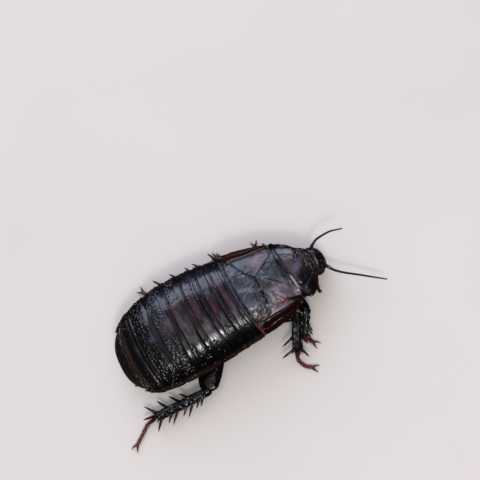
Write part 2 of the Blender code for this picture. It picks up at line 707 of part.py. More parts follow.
def add_face():
    """Eyes, upper lip, jaws, palps and feelers."""
    add_lens("labrum", 0.0, LABRUM_PITCH, (0.55, 0.3), 0.1, "leg_cuticle", 0.4)
    for side, sign in SIGNS.items():
        add_lens(f"eye_{side}", sign * EYE_YAW, EYE_PITCH, EYE_SPAN, EYE_BULGE, "eye", 0.3)
        add_lens(f"mandible_{side}", sign * JAW_YAW, JAW_PITCH, (0.24, 0.3), 0.15, "leg_cuticle", 0.35)
        roots = [tuple(head_surface(sign * ANTENNA_YAW, ANTENNA_PITCH, out)) for out in (0.3, 0.9)]
        points = curve_points(roots + list(ANTENNA_PATHS[side]), ANTENNA_KNOTS)
        radii = [float(radius) for radius in np.linspace(ANTENNA_RADIUS, ANTENNA_TIP_RADIUS, ANTENNA_KNOTS)]
        radii[0] = SCAPE_RADIUS
        radii[1] = SCAPE_RADIUS
        radii[-1] *= 0.6
        add_tube(f"antenna_{side}", points, radii, "feeler")
        points = curve_points(PALP_PATHS[side], len(PALP_SCALES))
        add_tube(f"palp_{side}", points, [PALP_RADIUS * scale for scale in PALP_SCALES], "foot_cuticle")


def add_cerci():
    """The two short tail feelers under the supra-anal plate."""
    for side, sign in SIGNS.items():
        start = Vector((-15.75, sign * 3.3 + TAIL_PLATE_CENTRE, 2.95))
        end = Vector((-16.6, sign * 3.6 + TAIL_PLATE_CENTRE, 2.9))
        points = [start.lerp(end, share) for share in (0.0, 0.3, 0.6, 0.85, 1.0)]
        add_tube(f"cercus_{side}", points, (0.3, 0.34, 0.3, 0.22, 0.12), "leg_cuticle")


def add_spines(node, start, end, name, tibia_sizes, draw):
    """The rows of spines of a shin, leaning towards the foot, fused into it."""
    ahead = (end - start).normalized()
    outward = Vector((ahead.y, -ahead.x, 0.0)).normalized()
    upward = outward.cross(ahead).normalized()
    if upward.z < 0:
        upward = -upward
    meshes = []
    for row, heading in (("right", outward), ("left", -outward), ("upper", upward)):
        for share, length in SPINES[name][row]:
            radius = curve_value(share, (0.0, WIDEST_SHARE, 1.0), tibia_sizes)
            reach = radius * (TIBIA_FLAT if row == "upper" else 1.0)
            lean = SPINE_LEAN + math.radians(draw.uniform(-6.0, 6.0))
            tilt = heading * math.sin(lean) + ahead * math.cos(lean)
            if row != "upper":
                tilt += upward * draw.uniform(-0.05, 0.18)
            tilt.normalize()
            place = start.lerp(end, share) + heading * (reach - SPINE_SINK) - tilt * 0.05
            meshes.append(spine_mesh(place, tilt, length + SPINE_SINK))
    fuse(node, meshes)


def claw_rings(start, ahead, turn):
    """Rings of one curved claw from the end of the foot."""
    heading = Matrix.Rotation(turn, 3, "Z") @ ahead
    path = []
    radii = []
    for step in range(5):
        share = step / 4.0
        bend = Matrix.Rotation(-0.5 * turn * share, 3, "Z")
        path.append(start + bend @ heading * (CLAW_LENGTH * share) + Vector((0, 0, -0.2 * share * share)))
        radii.append(CLAW_RADIUS * (1.0 - 0.8 * share))
    return limb_rings(path, radii, 1.0)


def add_foot(name, ankle, knots):
    """The five short joints of a foot, flat under their pads, with two claws."""
    end = Vector(knots[-1])
    points = curve_points((ankle,) + tuple(knots), TARSUS_RINGS)
    radii = []
    for index in range(TARSUS_RINGS):
        base = curve_value(index / (TARSUS_RINGS - 1.0), (0.0, 0.5, 1.0), TARSUS_RADII)
        waist = index % 2 == 0 and 0 < index < TARSUS_RINGS - 1
        radii.append(base * (TARSUS_WAIST if waist else 1.0))
    body = loft(limb_rings(points, radii, 1.0))
    node = add_object(name, mesh_from(name, body), ankle, "foot_cuticle")
    ahead = points[-1] - points[-2]
    ahead.z = 0.0
    ahead.normalize()
    start = end - ahead * 0.15
    claws = [loft(claw_rings(start, ahead, turn)) for turn in (CLAW_SPREAD, -CLAW_SPREAD)]
    fuse(node, [mesh_from("claw", claw) for claw in claws])
    floor = -node.location.z
    for vertex in node.data.vertices:
        vertex.co.z = max(vertex.co.z, floor)


def joint_setback(ahead, following, next_radius, own_radius):
    """How far before a joint a leg segment ends, so that it clears the next one."""
    turn = ahead.angle(following)
    if turn <= math.pi / 2.0:
        return 0.5 * JOINT_GAP + next_radius * math.sin(turn)
    return (next_radius + JOINT_GAP - 0.9 * own_radius * math.cos(turn)) / math.sin(turn)


def add_leg(name, joints, draw):
    """One leg: coxa, thigh, shin with its spines, and foot."""
    sizes = LEG_SIZES[name.split("_")[0]]
    coxa, trochanter, knee, ankle = (Vector(joints[key]) for key in ("coxa", "trochanter", "knee", "ankle"))
    coxa_ahead = (trochanter - coxa).normalized()
    thigh_ahead = (knee - trochanter).normalized()
    shin_ahead = (ankle - knee).normalized()
    foot_ahead = (Vector(joints["foot"][0]) - ankle).normalized()
    setback = joint_setback(coxa_ahead, thigh_ahead, sizes["femur"][0], sizes["coxa"][2]) + COXA_SETBACK
    coxa_end = trochanter - coxa_ahead * setback
    body = leg_segment(coxa, coxa_end, sizes["coxa"], COXA_FLAT)
    add_object(f"coxa_{name}", mesh_from("coxa", body), coxa, "leg_cuticle")
    thigh_start = trochanter + thigh_ahead * JOINT_GAP * 0.5
    thigh_end = knee - thigh_ahead * joint_setback(thigh_ahead, shin_ahead, sizes["tibia"][0], sizes["femur"][2])
    body = leg_segment(thigh_start, thigh_end, sizes["femur"], sizes["flat"])
    add_object(f"femur_{name}", mesh_from("femur", body), trochanter, "leg_cuticle")
    shin_start = knee + shin_ahead * JOINT_GAP * 0.5
    shin_end = ankle - shin_ahead * JOINT_GAP
    body = leg_segment(shin_start, shin_end, sizes["tibia"], TIBIA_FLAT)
    shin = add_object(f"tibia_{name}", mesh_from("tibia", body), knee, "leg_cuticle")
    add_spines(shin, shin_start, shin_end, name, sizes["tibia"], draw)
    add_foot(f"tarsus_{name}", ankle + foot_ahead * 0.12, joints["foot"])


def build():
    """Makes all sub-parts of the animal."""
    add_tergites()
    add_tail_plate()
    add_abdomen()
    add_metanotum()
    add_mesonotum()
    add_wing_stub("left")
    add_wing_stub("right")
    add_pronotum()
    add_thorax()
    add_head()
    add_face()
    add_cerci()
    draw = random.Random(SEED)
    for name, joints in LEGS.items():
        add_leg(name, joints, draw)


for old in list(bpy.data.objects):
    bpy.data.objects.remove(old)
collection = bpy.data.collections.new(COLLECTION)
bpy.context.scene.collection.children.link(collection)
root = bpy.data.objects.new("cockroach_root", None)
root.location = (-BOX_MIDDLE_X * MM, -BOX_MIDDLE_Y * MM, 0.0)
collection.objects.link(root)
finishes = {name: make_finish(name) for name in FINISHES}
build()
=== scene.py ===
"""Builds the finished look of a life-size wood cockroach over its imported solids."""

import functools
import itertools
import logging
import math
from dataclasses import dataclass, field
from enum import Enum, IntEnum

import bpy
import numpy as np
from mathutils import Matrix

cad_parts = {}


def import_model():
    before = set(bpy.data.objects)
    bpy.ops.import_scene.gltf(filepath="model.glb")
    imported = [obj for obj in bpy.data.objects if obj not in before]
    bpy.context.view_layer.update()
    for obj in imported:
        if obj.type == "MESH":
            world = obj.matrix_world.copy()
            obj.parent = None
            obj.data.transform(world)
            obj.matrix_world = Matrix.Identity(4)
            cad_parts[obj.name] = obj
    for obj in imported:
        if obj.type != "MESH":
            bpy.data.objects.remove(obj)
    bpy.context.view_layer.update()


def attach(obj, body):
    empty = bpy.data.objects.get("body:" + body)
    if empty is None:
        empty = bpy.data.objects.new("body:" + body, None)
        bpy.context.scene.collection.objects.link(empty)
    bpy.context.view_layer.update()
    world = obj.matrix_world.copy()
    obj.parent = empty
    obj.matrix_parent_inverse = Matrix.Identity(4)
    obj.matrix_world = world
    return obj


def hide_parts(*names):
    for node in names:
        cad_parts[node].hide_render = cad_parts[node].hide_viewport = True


Array = np.ndarray
LOG = logging.getLogger("wood_cockroach")

MM = 0.001
BOX_MIDDLE = np.array([3.02, -2.2, 0.0])

BLACK = np.array([0.0045, 0.0042, 0.0052])
SLATE = np.array([0.05, 0.056, 0.08])
MAROON = np.array([0.075, 0.018, 0.032])
CLEAR_RED = np.array([0.1, 0.009, 0.028])
PURPLE = np.array([0.105, 0.07, 0.095])
BROWN = np.array([0.085, 0.045, 0.028])
PALE_BROWN = np.array([0.24, 0.17, 0.11])
LIP = np.array([0.13, 0.095, 0.045])
# This pink is used only for painted sheen and painted reflections.
PINK_SHEEN = np.array([0.2, 0.135, 0.17])
# This pale blue-grey is used only for painted highlights, glints and sheen.
PALE_HIGHLIGHT = np.array([0.24, 0.22, 0.24])
DARK_RED = np.array([0.09, 0.012, 0.01])
RED = np.array([0.13, 0.015, 0.008])
BELLY = np.array([0.035, 0.012, 0.008])
TEAL = np.array([0.015, 0.04, 0.042])
DEEP_TEAL = np.array([0.015, 0.026, 0.03])
DEEP_PURPLE = np.array([0.011, 0.004, 0.013])
RUST = np.array([0.055, 0.02, 0.022])

UPWARD = np.array([0.0, 0.0, 1.0])
CROSSWAYS = np.array([0.0, 1.0, 0.0])
TINY = 0.004


class Side(Enum):
    """The two sides of the animal, with the sign of the sideways axis on each."""

    LEFT = 1
    RIGHT = -1

    @property
    def word(self) -> str:
        """The side's name as the nodes carry it."""
        return self.name.lower()


class Seed(IntEnum):
    """First numbers of the random patterns, so that each surface has its own."""

    MARGINS = 200
    TERGITES = 1000
    TAIL_PLATE = 1900
    CERCI = 1950
    METANOTUM = 2000
    RAGGED_EDGE = 2300
    MESONOTUM = 2310
    TORN_EDGE = 2400
    WING_STUBS = 2410
    PRONOTUM = 2600
    BELLY = 3000
    BREAST = 3100
    HEAD = 4000
    FEELERS = 4200
    PALPS = 4300
    LEGS = 5000


# Numbers in arrays


def smooth_between(x: Array, knots: tuple, values: tuple) -> Array:
    """Runs a monotone cubic through the values at the knots.

    Args:
        x: Places to read the curve at, of any shape.
        knots: Rising places of the known values.
        values: The known values.

    Returns:
        The curve at each place, level before the first and past the last knot.
    """
    knots = np.asarray(knots, float)
    values = np.asarray(values, float)
    x = np.clip(np.asarray(x, float), knots[0], knots[-1])
    step = np.diff(knots)
    slope = np.diff(values) / step
    tangent = np.zeros_like(values)
    same_way = slope[:-1] * slope[1:] > 0
    total = slope[:-1] + slope[1:]
    tangent[1:-1][same_way] = (2 * slope[:-1] * slope[1:])[same_way] / total[same_way]
    tangent[0] = slope[0]
    tangent[-1] = slope[-1]
    cell = np.clip(np.searchsorted(knots, x) - 1, 0, len(step) - 1)
    t = (x - knots[cell]) / step[cell]
    start = values[cell] * (2 * t**3 - 3 * t**2 + 1) + tangent[cell] * step[cell] * (t**3 - 2 * t**2 + t)
    end = values[cell + 1] * (3 * t**2 - 2 * t**3) + tangent[cell + 1] * step[cell] * (t**3 - t**2)
    return start + end


def ramp(value: Array, low: float, high: float) -> Array:
    """Rises smoothly from 0 at the low value to 1 at the high one, which may also lie below it."""
    t = np.clip((value - low) / (high - low), 0.0, 1.0)
    return t * t * (3.0 - 2.0 * t)


def bell(value: Array, middle: float, spread: float) -> Array:
    """Rises smoothly to 1 at the middle and fades out over the spread on either side."""
    return np.exp(-(((value - middle) / spread) ** 2))


def mix(first: Array, second: Array, share: Array) -> Array:
    """Blends the first colour into the second by a share at each point."""
    share = np.clip(share, 0.0, 1.0)[..., None]
    return first * (1.0 - share) + second * share


def painted(ground: Array, coats: tuple | list) -> Array:
    """Lays coats of colour over a ground, one after the other.

    Args:
        ground: Colour or colours to start from.
        coats: Pairs of a colour and how much of it lies at each point.

    Returns:
        The colours, one to a point.
    """
    for shade, share in coats:
        ground = mix(ground, shade, share)
    return ground


def unit(vectors: Array) -> Array:
    """Directions of the vectors, each one long."""
    return vectors / np.maximum(np.linalg.norm(vectors, axis=-1, keepdims=True), 1e-12)


def reach_along(path: Array) -> Array:
    """Distance of each point of a path from its start, along the path."""
    return np.concatenate([[0.0], np.cumsum(np.linalg.norm(np.diff(path, axis=0), axis=-1))])


def end_dense(count: int, pull: float = 0.6) -> Array:
    """Rising shares from 0 to 1 that the pull gathers near both ends."""
    t = np.linspace(0.0, 1.0, count)
    return t - pull * np.sin(2.0 * np.pi * t) / (2.0 * np.pi)


@dataclass(frozen=True)
class Grain:
    """Repeatable unevenness: smooth clouds and scattered spots.

    Attributes:
        seed: Whole number that picks the pattern.
    """

    seed: int

    def draw(self, cells: Array) -> Array:
        """Gives each whole-numbered cell its own value by mixing the bits of its place.

        Args:
            cells: Cell places, with the axes last.

        Returns:
            A value between 0 and 1 for each cell.
        """
        mixed = np.full(cells.shape[:-1], (self.seed * 374761393 + 97) & 0xFFFFFFFF, np.uint32)
        for axis, factor in zip(range(cells.shape[-1]), (73856093, 19349663, 83492791)):
            part = (cells[..., axis].astype(np.int64) & 0xFFFFFFFF).astype(np.uint32)
            mixed ^= part * np.uint32(factor)
            mixed ^= mixed >> np.uint32(13)
            mixed *= np.uint32(2246822519)
        mixed ^= mixed >> np.uint32(15)
        mixed *= np.uint32(3266489917)
        mixed ^= mixed >> np.uint32(16)
        return mixed / 4294967296.0

    def cloud(self, points: Array, size: float) -> Array:
        """Smooth random heights with hills about as wide as the size.

        Args:
            points: Places in millimetres, with two or three axes last.
            size: Width of a hill in millimetres.

        Returns:
            A height between -1 and 1 at each place.
        """
        places = points / size
        base = np.floor(places)
        part = places - base
        part = part * part * (3.0 - 2.0 * part)
        total = np.zeros(points.shape[:-1])
        for corner in itertools.product((0, 1), repeat=points.shape[-1]):
            weight = np.prod(np.where(np.array(corner) == 1, part, 1.0 - part), -1)
            total += weight * self.draw(base + np.array(corner))
        return 2.0 * total - 1.0

    def layers(self, points: Array, size: float, count: int = 3) -> Array:
        """Clouds laid over each other, each half as wide and half as high as the last.

        Args:
            points: Places in millimetres, with two or three axes last.
            size: Width of the largest hills.
            count: How many layers.

        Returns:
            A height of about -1 to 1 at each place.
        """
        total = np.zeros(points.shape[:-1])
        for layer in range(count):
            total += Grain(self.seed + 17 * layer).cloud(points, size / 2**layer) * 0.5**layer
        return total / 1.5

    def spots(self, points: Array, size: float) -> tuple[Array, Array]:
        """Finds the nearest of spots that are scattered one to a square cell.

        Args:
            points: Places in millimetres, with two axes last.
            size: Side of a cell, so the usual distance between spots.

        Returns:
            The distance to the nearest spot in millimetres, and that spot's own value of 0 to 1.
        """
        places = points / size
        base = np.floor(places)
        nearest = np.full(points.shape[:-1], 9.0)
        value = np.zeros(points.shape[:-1])
        for shift in itertools.product((-1, 0, 1), repeat=2):
            cell = base + np.array(shift)
            offset = np.stack([Grain(self.seed + 3).draw(cell), Grain(self.seed + 5).draw(cell)], -1)
            gap = np.linalg.norm(places - cell - 0.12 - 0.76 * offset, axis=-1)
            closer = gap < nearest
            nearest = np.where(closer, gap, nearest)
            value = np.where(closer, self.draw(cell), value)
        return nearest * size, value


@dataclass(frozen=True)
class Skin:
    """The random patterns of one surface, each numbered from the surface's seed.

    Attributes:
        flat: Places over the surface in millimetres, with the axes last.
        seed: First number of its patterns.
    """

    flat: Array
    seed: int

    def hills(self, step: int, size: float, stretch: tuple | float = 1.0) -> Array:
        """One layer of heights from -1 to 1; a stretch under 1 along a direction makes streaks."""
        return Grain(self.seed + step).cloud(self.flat * np.asarray(stretch), size)

    def clouds(self, step: int, size: float, count: int = 3, stretch: tuple | float = 1.0) -> Array:
        """Layers of heights of about -1 to 1, each half as wide and half as high as the last."""
        return Grain(self.seed + step).layers(self.flat * np.asarray(stretch), size, count)

    def pits(self, step: int, spacing: float, radius: float, none: float, full: float) -> Array:
        """Depth in round pits, 0 to 1: none where a spot's own value is low, full where it is high."""
        gap, value = Grain(self.seed + step).spots(self.flat, spacing)
        return bell(gap, 0.0, radius) * ramp(value, none, full)

    def domes(
        self, step: int, spacing: float, radius: float, spread: float, none: float, full: float
    ) -> Array:
        """Height of round grains, 0 to 1: none where a spot's own value is low, full where it is high."""
        gap, value = Grain(self.seed + step).spots(self.flat, spacing)
        return np.clip(1.0 - (gap / (radius + spread * value)) ** 2, 0.0, 1.0) * ramp(value, none, full)


# Closed surfaces


@dataclass
class Form:
    """A closed surface in body millimetres.

    Attributes:
        points: Place of each point.
        quads: Four point numbers to a face.
        tris: Three point numbers to a face, where a pole is closed.
        tint: Colour at each point.
        polish: Roughness at each point.
    """

    points: Array
    quads: Array
    tris: Array
    tint: Array
    polish: Array

    def outward(self) -> "Form":
        """Turns all faces round if they point inwards, judged by the signed volume."""
        a, b, c, d = (self.points[self.quads[:, corner]] for corner in range(4))
        volume = np.einsum("ij,ij->", a, np.cross(b, c)) + np.einsum("ij,ij->", a, np.cross(c, d))
        if len(self.tris):
            a, b, c = (self.points[self.tris[:, corner]] for corner in range(3))
            volume += np.einsum("ij,ij->", a, np.cross(b, c))
        if volume < 0:
            self.quads = self.quads[:, ::-1]
            self.tris = self.tris[:, ::-1]
        return self

    def above_ground(self) -> "Form":
        """Lifts the points that lie below the floor on to it."""
        self.points[:, 2] = np.maximum(self.points[:, 2], 0.0)
        return self

    def count(self) -> int:
        """How many triangles the surface has."""
        return 2 * len(self.quads) + len(self.tris)


def joined(forms: list[Form]) -> Form:
    """Puts several surfaces into one.

    Args:
        forms: The surfaces.

    Returns:
        One surface with all points and faces.
    """
    starts = np.cumsum([0] + [len(form.points) for form in forms[:-1]])
    return Form(
        np.concatenate([form.points for form in forms]),
        np.concatenate([form.quads + start for form, start in zip(forms, starts)]),
        np.concatenate([form.tris + start for form, start in zip(forms, starts)]),
        np.concatenate([form.tint for form in forms]),
        np.concatenate([form.polish for form in forms]),
    )


def grid_quads(numbers: Array) -> Array:
    """Faces between neighbouring rows and columns of a table of point numbers."""
    corners = (numbers[:-1, :-1], numbers[:-1, 1:], numbers[1:, 1:], numbers[1:, :-1])
    return np.stack([corner.ravel() for corner in corners], -1)


def grid_normals(grid: Array, upward: bool = False) -> Array:
    """Unit directions square to a grid of points, made to point up on the whole if asked."""
    normal = unit(np.cross(np.gradient(grid, axis=0), np.gradient(grid, axis=1)))
    return -normal if upward and normal[..., 2].mean() < 0 else normal


def edge_distances(grid: Array) -> tuple[Array, Array, Array, Array]:
    """Distances over the surface from each point to the four edges of a grid.

    Args:
        grid: Points by row and column.

    Returns:
        Distances to the first row, last row, first column and last column.
    """
    down = np.linalg.norm(np.diff(grid, axis=0), axis=-1)
    over = np.linalg.norm(np.diff(grid, axis=1), axis=-1)
    down = np.concatenate([np.zeros((1, grid.shape[1])), np.cumsum(down, 0)], 0)
    over = np.concatenate([np.zeros((grid.shape[0], 1)), np.cumsum(over, 1)], 1)
    return down, down[-1:] - down, over, over[:, -1:] - over


def quarter(share: Array) -> Array:
    """Rises like a quarter circle from 0 to 1 while the share goes from 0 to 1, then stays there."""
    return np.sqrt(1.0 - (1.0 - np.clip(share, 0.0, 1.0)) ** 2)


def plate(
    grid: Array, thickness: float, relief: Array, tint: Array, polish: Array, edge: float = 0.11
) -> Form:
    """A curved plate with round edges: two grids that share their border.

    The upper grid is the given surface raised by the relief, and it turns down at its border in a
    small quarter circle. The lower grid lies below it by the thickness and turns up in a large one.

    Args:
        grid: Points of the upper surface by row and column.
        thickness: Thickness of the plate in millimetres.
        relief: Height over the upper surface at each point.
        tint: Colour at each point.
        polish: Roughness at each point.
        edge: Radius of the upper edge in millimetres.

    Returns:
        The closed plate.
    """
    rows, columns = grid.shape[:2]
    normal = grid_normals(grid, upward=True)
    reach = np.minimum.reduce(edge_distances(grid))
    swell = quarter(reach / edge)[..., None]
    deep = edge + (thickness - edge) * quarter(reach / (thickness - edge))[..., None]
    upper = grid + normal * (relief[..., None] * swell - edge * (1.0 - swell))
    lower = (grid - normal * deep)[1:-1, 1:-1]
    numbers = np.arange(rows * columns).reshape(rows, columns)
    under = numbers.copy()
    under[1:-1, 1:-1] = numbers.size + np.arange(lower[..., 0].size).reshape(lower.shape[:2])
    return Form(
        np.concatenate([upper.reshape(-1, 3), lower.reshape(-1, 3)]),
        np.concatenate([grid_quads(numbers), grid_quads(under)[:, ::-1]]),
        np.zeros((0, 3), int),
        # The lower face takes the upper colour darkened, as painted shade under the plate.
        np.concatenate([tint.reshape(-1, 3), tint[1:-1, 1:-1].reshape(-1, 3) * 0.7]),
        np.concatenate([polish.ravel(), polish[1:-1, 1:-1].ravel()]),
    ).outward()


def closed_rings(rings: Array, tint: Array, polish: Array) -> Form:
    """A surface through rings of points, closed at both ends at the middle of the end ring.

    Args:
        rings: Points by ring and by place on the ring.
        tint: Colour at each of those points.
        polish: Roughness at each of those points.

    Returns:
        The closed surface.
    """
    count, sides = rings.shape[:2]
    numbers = np.arange(count * sides).reshape(count, sides)
    wrapped = np.concatenate([numbers, numbers[:, :1]], 1)
    first = count * sides
    start = np.stack([np.full(sides, first), wrapped[0, 1:], wrapped[0, :-1]], -1)
    end = np.stack([np.full(sides, first + 1), wrapped[-1, :-1], wrapped[-1, 1:]], -1)
    poles = np.stack([rings[0].mean(0), rings[-1].mean(0)])
    pole_tint = np.stack([tint[0].mean(0), tint[-1].mean(0)])
    return Form(
        np.concatenate([rings.reshape(-1, 3), poles]),
        grid_quads(wrapped),
        np.concatenate([start, end]),
        np.concatenate([tint.reshape(-1, 3), pole_tint]),
        np.concatenate([polish.ravel(), [polish[0].mean(), polish[-1].mean()]]),
    ).outward()


@dataclass
class Limb:
    """A round profile carried along a path, the base of legs, feelers, spines and claws.

    Attributes:
        path: Points of the middle line in millimetres.
        wide: Half width at each point, level across the path.
        high: Half height at each point.
        sides: How many points round the path.
    """

    path: Array
    wide: Array
    high: Array
    sides: int = 24

    def __post_init__(self) -> None:
        """Works out the directions along, beside and above the path, and the plain rings."""
        self.path = np.asarray(self.path, float)
        ahead = unit(np.gradient(self.path, axis=0))
        side = np.cross(ahead, UPWARD)
        level = np.linalg.norm(side, axis=-1, keepdims=True) > 1e-3
        side = np.where(level, unit(side), CROSSWAYS)
        above = np.cross(side, ahead)
        self.angle = np.linspace(0.0, 2.0 * np.pi, self.sides, endpoint=False)
        wide = np.asarray(self.wide, float)[:, None, None]
        high = np.asarray(self.high, float)[:, None, None]
        cosine = np.cos(self.angle)[None, :, None]
        sine = np.sin(self.angle)[None, :, None]
        self.rings = self.path[:, None] + side[:, None] * cosine * wide + above[:, None] * sine * high
        self.out = unit(side[:, None] * cosine * high + above[:, None] * sine * wide)
        around = self.angle[None] * np.maximum(wide[..., 0], high[..., 0])
        self.flat = np.stack(np.broadcast_arrays(reach_along(self.path)[:, None], around), -1)

    def form(self, relief: Array, tint: Array, polish: Array) -> Form:
        """Raises the rings by a relief and closes their ends.

        Args:
            relief: One height over the plain rings, or a height by ring and place.
            tint: One colour, or a colour by ring and place.
            polish: One roughness, or a roughness by ring and place.

        Returns:
            The closed surface.
        """
        counts = self.rings.shape[:2]
        rings = self.rings + self.out * np.broadcast_to(relief, counts)[..., None]
        return closed_rings(rings, np.broadcast_to(tint, self.rings.shape), np.broadcast_to(polish, counts))


def rounded(reach: Array, start: float, end: float) -> Array:
    """A share that closes in a quarter circle over the first and last stretch of a path."""
    return quarter(reach / start) * quarter((reach[-1] - reach) / end)


def curve_through(knots: tuple, count: int) -> Array:
    """Evenly numbered points of one smooth curve through the knots.

    Args:
        knots: Places in millimetres.
        count: How many points.

    Returns:
        The points of the curve.
    """
    knots = np.asarray(knots, float)
    reach = reach_along(knots)
    places = np.linspace(0.0, reach[-1], count)
    return np.stack([smooth_between(places, reach, knots[:, axis]) for axis in range(3)], -1)


def spine(place: Array, heading: Array, length: float, radius: float, bend: float = 0.12) -> Form:
    """A slender curved cone with a swollen socket at its root.

    Args:
        place: Middle of the root.
        heading: Direction of the spine.
        length: Length in millimetres.
        radius: Half width of the root.
        bend: How far the tip turns down, as a share of the length.

    Returns:
        The closed spine.
    """
    share = np.array([0.0, 0.05, 0.11, 0.17, 0.3, 0.45, 0.6, 0.75, 0.88, 0.96, 1.0])
    size = np.array([1.25, 1.45, 1.3, 1.02, 0.98, 0.92, 0.82, 0.66, 0.42, 0.2, 0.03]) * radius
    path = place + heading * length * share[:, None] - UPWARD * bend * length * share[:, None] ** 2
    tint = mix(BLACK * 1.3, DARK_RED * 0.42, ramp(share, 0.15, 0.9))[:, None]
    return Limb(path, size, size, 8).form(0.0, tint, 0.22)


# The finishes


class Nodes:
    """Short ways to put shader nodes into a material.

    Attributes:
        tree: The node tree of the material.
        shader: Its Principled shader.
    """

    def __init__(self, name: str) -> None:
        """Starts a material with a Principled shader.

        Args:
            name: Name of the material.
        """
        self.material = bpy.data.materials.new(name)
        self.material.use_nodes = True
        self.tree = self.material.node_tree
        self.shader = self.tree.nodes["Principled BSDF"]

    def add(self, kind: str, inputs: dict, **settings: object) -> bpy.types.Node:
        """Adds a node.

        Args:
            kind: Type name of the node.
            inputs: Sockets by name or number, each with a value or with another node's socket.
            **settings: Properties of the node.

        Returns:
            The new node.
        """
        node = self.tree.nodes.new(kind)
        for key, value in settings.items():
            setattr(node, key, value)
        self.fill(node, inputs)
        return node

    def fill(self, node: bpy.types.Node, inputs: dict) -> None:
        """Sets sockets of a node.

        Args:
            node: The node.
            inputs: Sockets by name or number, each with a value or with another node's socket.
        """
        for key, value in inputs.items():
            if isinstance(value, bpy.types.NodeSocket):
                self.tree.links.new(value, node.inputs[key])
            else:
                node.inputs[key].default_value = value

    def calculate(self, operation: str, first: object, second: object) -> bpy.types.NodeSocket:
        """Adds a Math node."""
        return self.add("ShaderNodeMath", {0: first, 1: second}, operation=operation).outputs[0]

    def swing(self, noise: bpy.types.NodeSocket, amount: float) -> bpy.types.NodeSocket:
        """Turns a noise of 0 to 1 into a swing round 0, from end to end as large as the amount."""
        return self.calculate("MULTIPLY", self.calculate("SUBTRACT", noise, 0.5), amount)

    def total(self, *terms: object) -> bpy.types.NodeSocket:
        """Adds up numbers and sockets."""
        return functools.reduce(lambda first, second: self.calculate("ADD", first, second), terms)


@dataclass(frozen=True)
class Cuticle:
    """A finish of shell, whose colour and polish come from each piece's own points.

    Attributes:
        slot: Material slot of the record.
        speckle: How much fine speckles lighten and darken the colour.
        grain: Width of the fine grain in millimetres.
        depth: Depth of the fine grain in millimetres.
        coat: Weight of the clear outer gloss.
        coat_roughness: Roughness of that gloss.
        specular: Strength of the reflection.
    """

    slot: str
    speckle: float = 0.35
    grain: float = 0.16
    depth: float = 0.005
    coat: float = 0.0
    coat_roughness: float = 0.16
    specular: float = 0.45

    def build(self) -> bpy.types.Material:
        """Makes the material: two sizes of noise vary colour and polish, three make the bump."""
        nodes = Nodes(self.slot)
        place = nodes.add("ShaderNodeTexCoord", {}).outputs["Object"]
        tint = nodes.add("ShaderNodeAttribute", {}, attribute_name="tint").outputs["Color"]
        polish = nodes.add("ShaderNodeAttribute", {}, attribute_name="polish").outputs["Fac"]
        wide = self.noise(nodes, place, 2.2, 4.0)
        fine = self.noise(nodes, place, self.grain, 3.0)
        cells = nodes.add(
            "ShaderNodeTexVoronoi", {"Vector": place, "Scale": 1.0 / (self.grain * 1.7 * MM)}, feature="F1"
        ).outputs["Distance"]
        bright = nodes.total(nodes.swing(fine, self.speckle * 2.0), nodes.swing(wide, 0.7), 1.0)
        colour = nodes.add("ShaderNodeVectorMath", {0: tint, "Scale": bright}, operation="SCALE")
        sunk_cells = nodes.calculate("MULTIPLY", cells, -0.6)
        height = nodes.total(fine, sunk_cells, nodes.calculate("MULTIPLY", wide, 1.2))
        bump = nodes.add("ShaderNodeBump", {"Height": height, "Distance": self.depth * MM, "Strength": 1.0})
        nodes.fill(nodes.shader, {
            "Base Color": colour.outputs[0],
            "Roughness": nodes.total(polish, nodes.swing(wide, 0.18), nodes.swing(fine, 0.12)),
            "Normal": bump.outputs["Normal"],
            "Specular IOR Level": self.specular,
            "Coat Weight": self.coat,
            "Coat Roughness": self.coat_roughness,
        })
        return nodes.material

    def noise(
        self, nodes: Nodes, place: bpy.types.NodeSocket, size: float, detail: float
    ) -> bpy.types.NodeSocket:
        """Adds a noise with hills of a given width."""
        inputs = {"Vector": place, "Scale": 1.0 / (size * MM), "Detail": detail, "Roughness": 0.6}
        return nodes.add("ShaderNodeTexNoise", inputs).outputs["Fac"]


FINISHES = (
    Cuticle("black_cuticle"),
    Cuticle("maroon_cuticle", speckle=0.45, grain=0.22, depth=0.009),
    Cuticle("under_cuticle", speckle=0.4, grain=0.2),
    Cuticle("leg_cuticle", speckle=0.3, grain=0.12, depth=0.006),
    Cuticle("foot_cuticle", speckle=0.4, grain=0.1, depth=0.008),
    Cuticle("feeler", speckle=0.4, grain=0.08, depth=0.006, specular=0.35),
    Cuticle("eye", speckle=0.2, grain=0.05, depth=0.004, coat=0.6, coat_roughness=0.08),
)


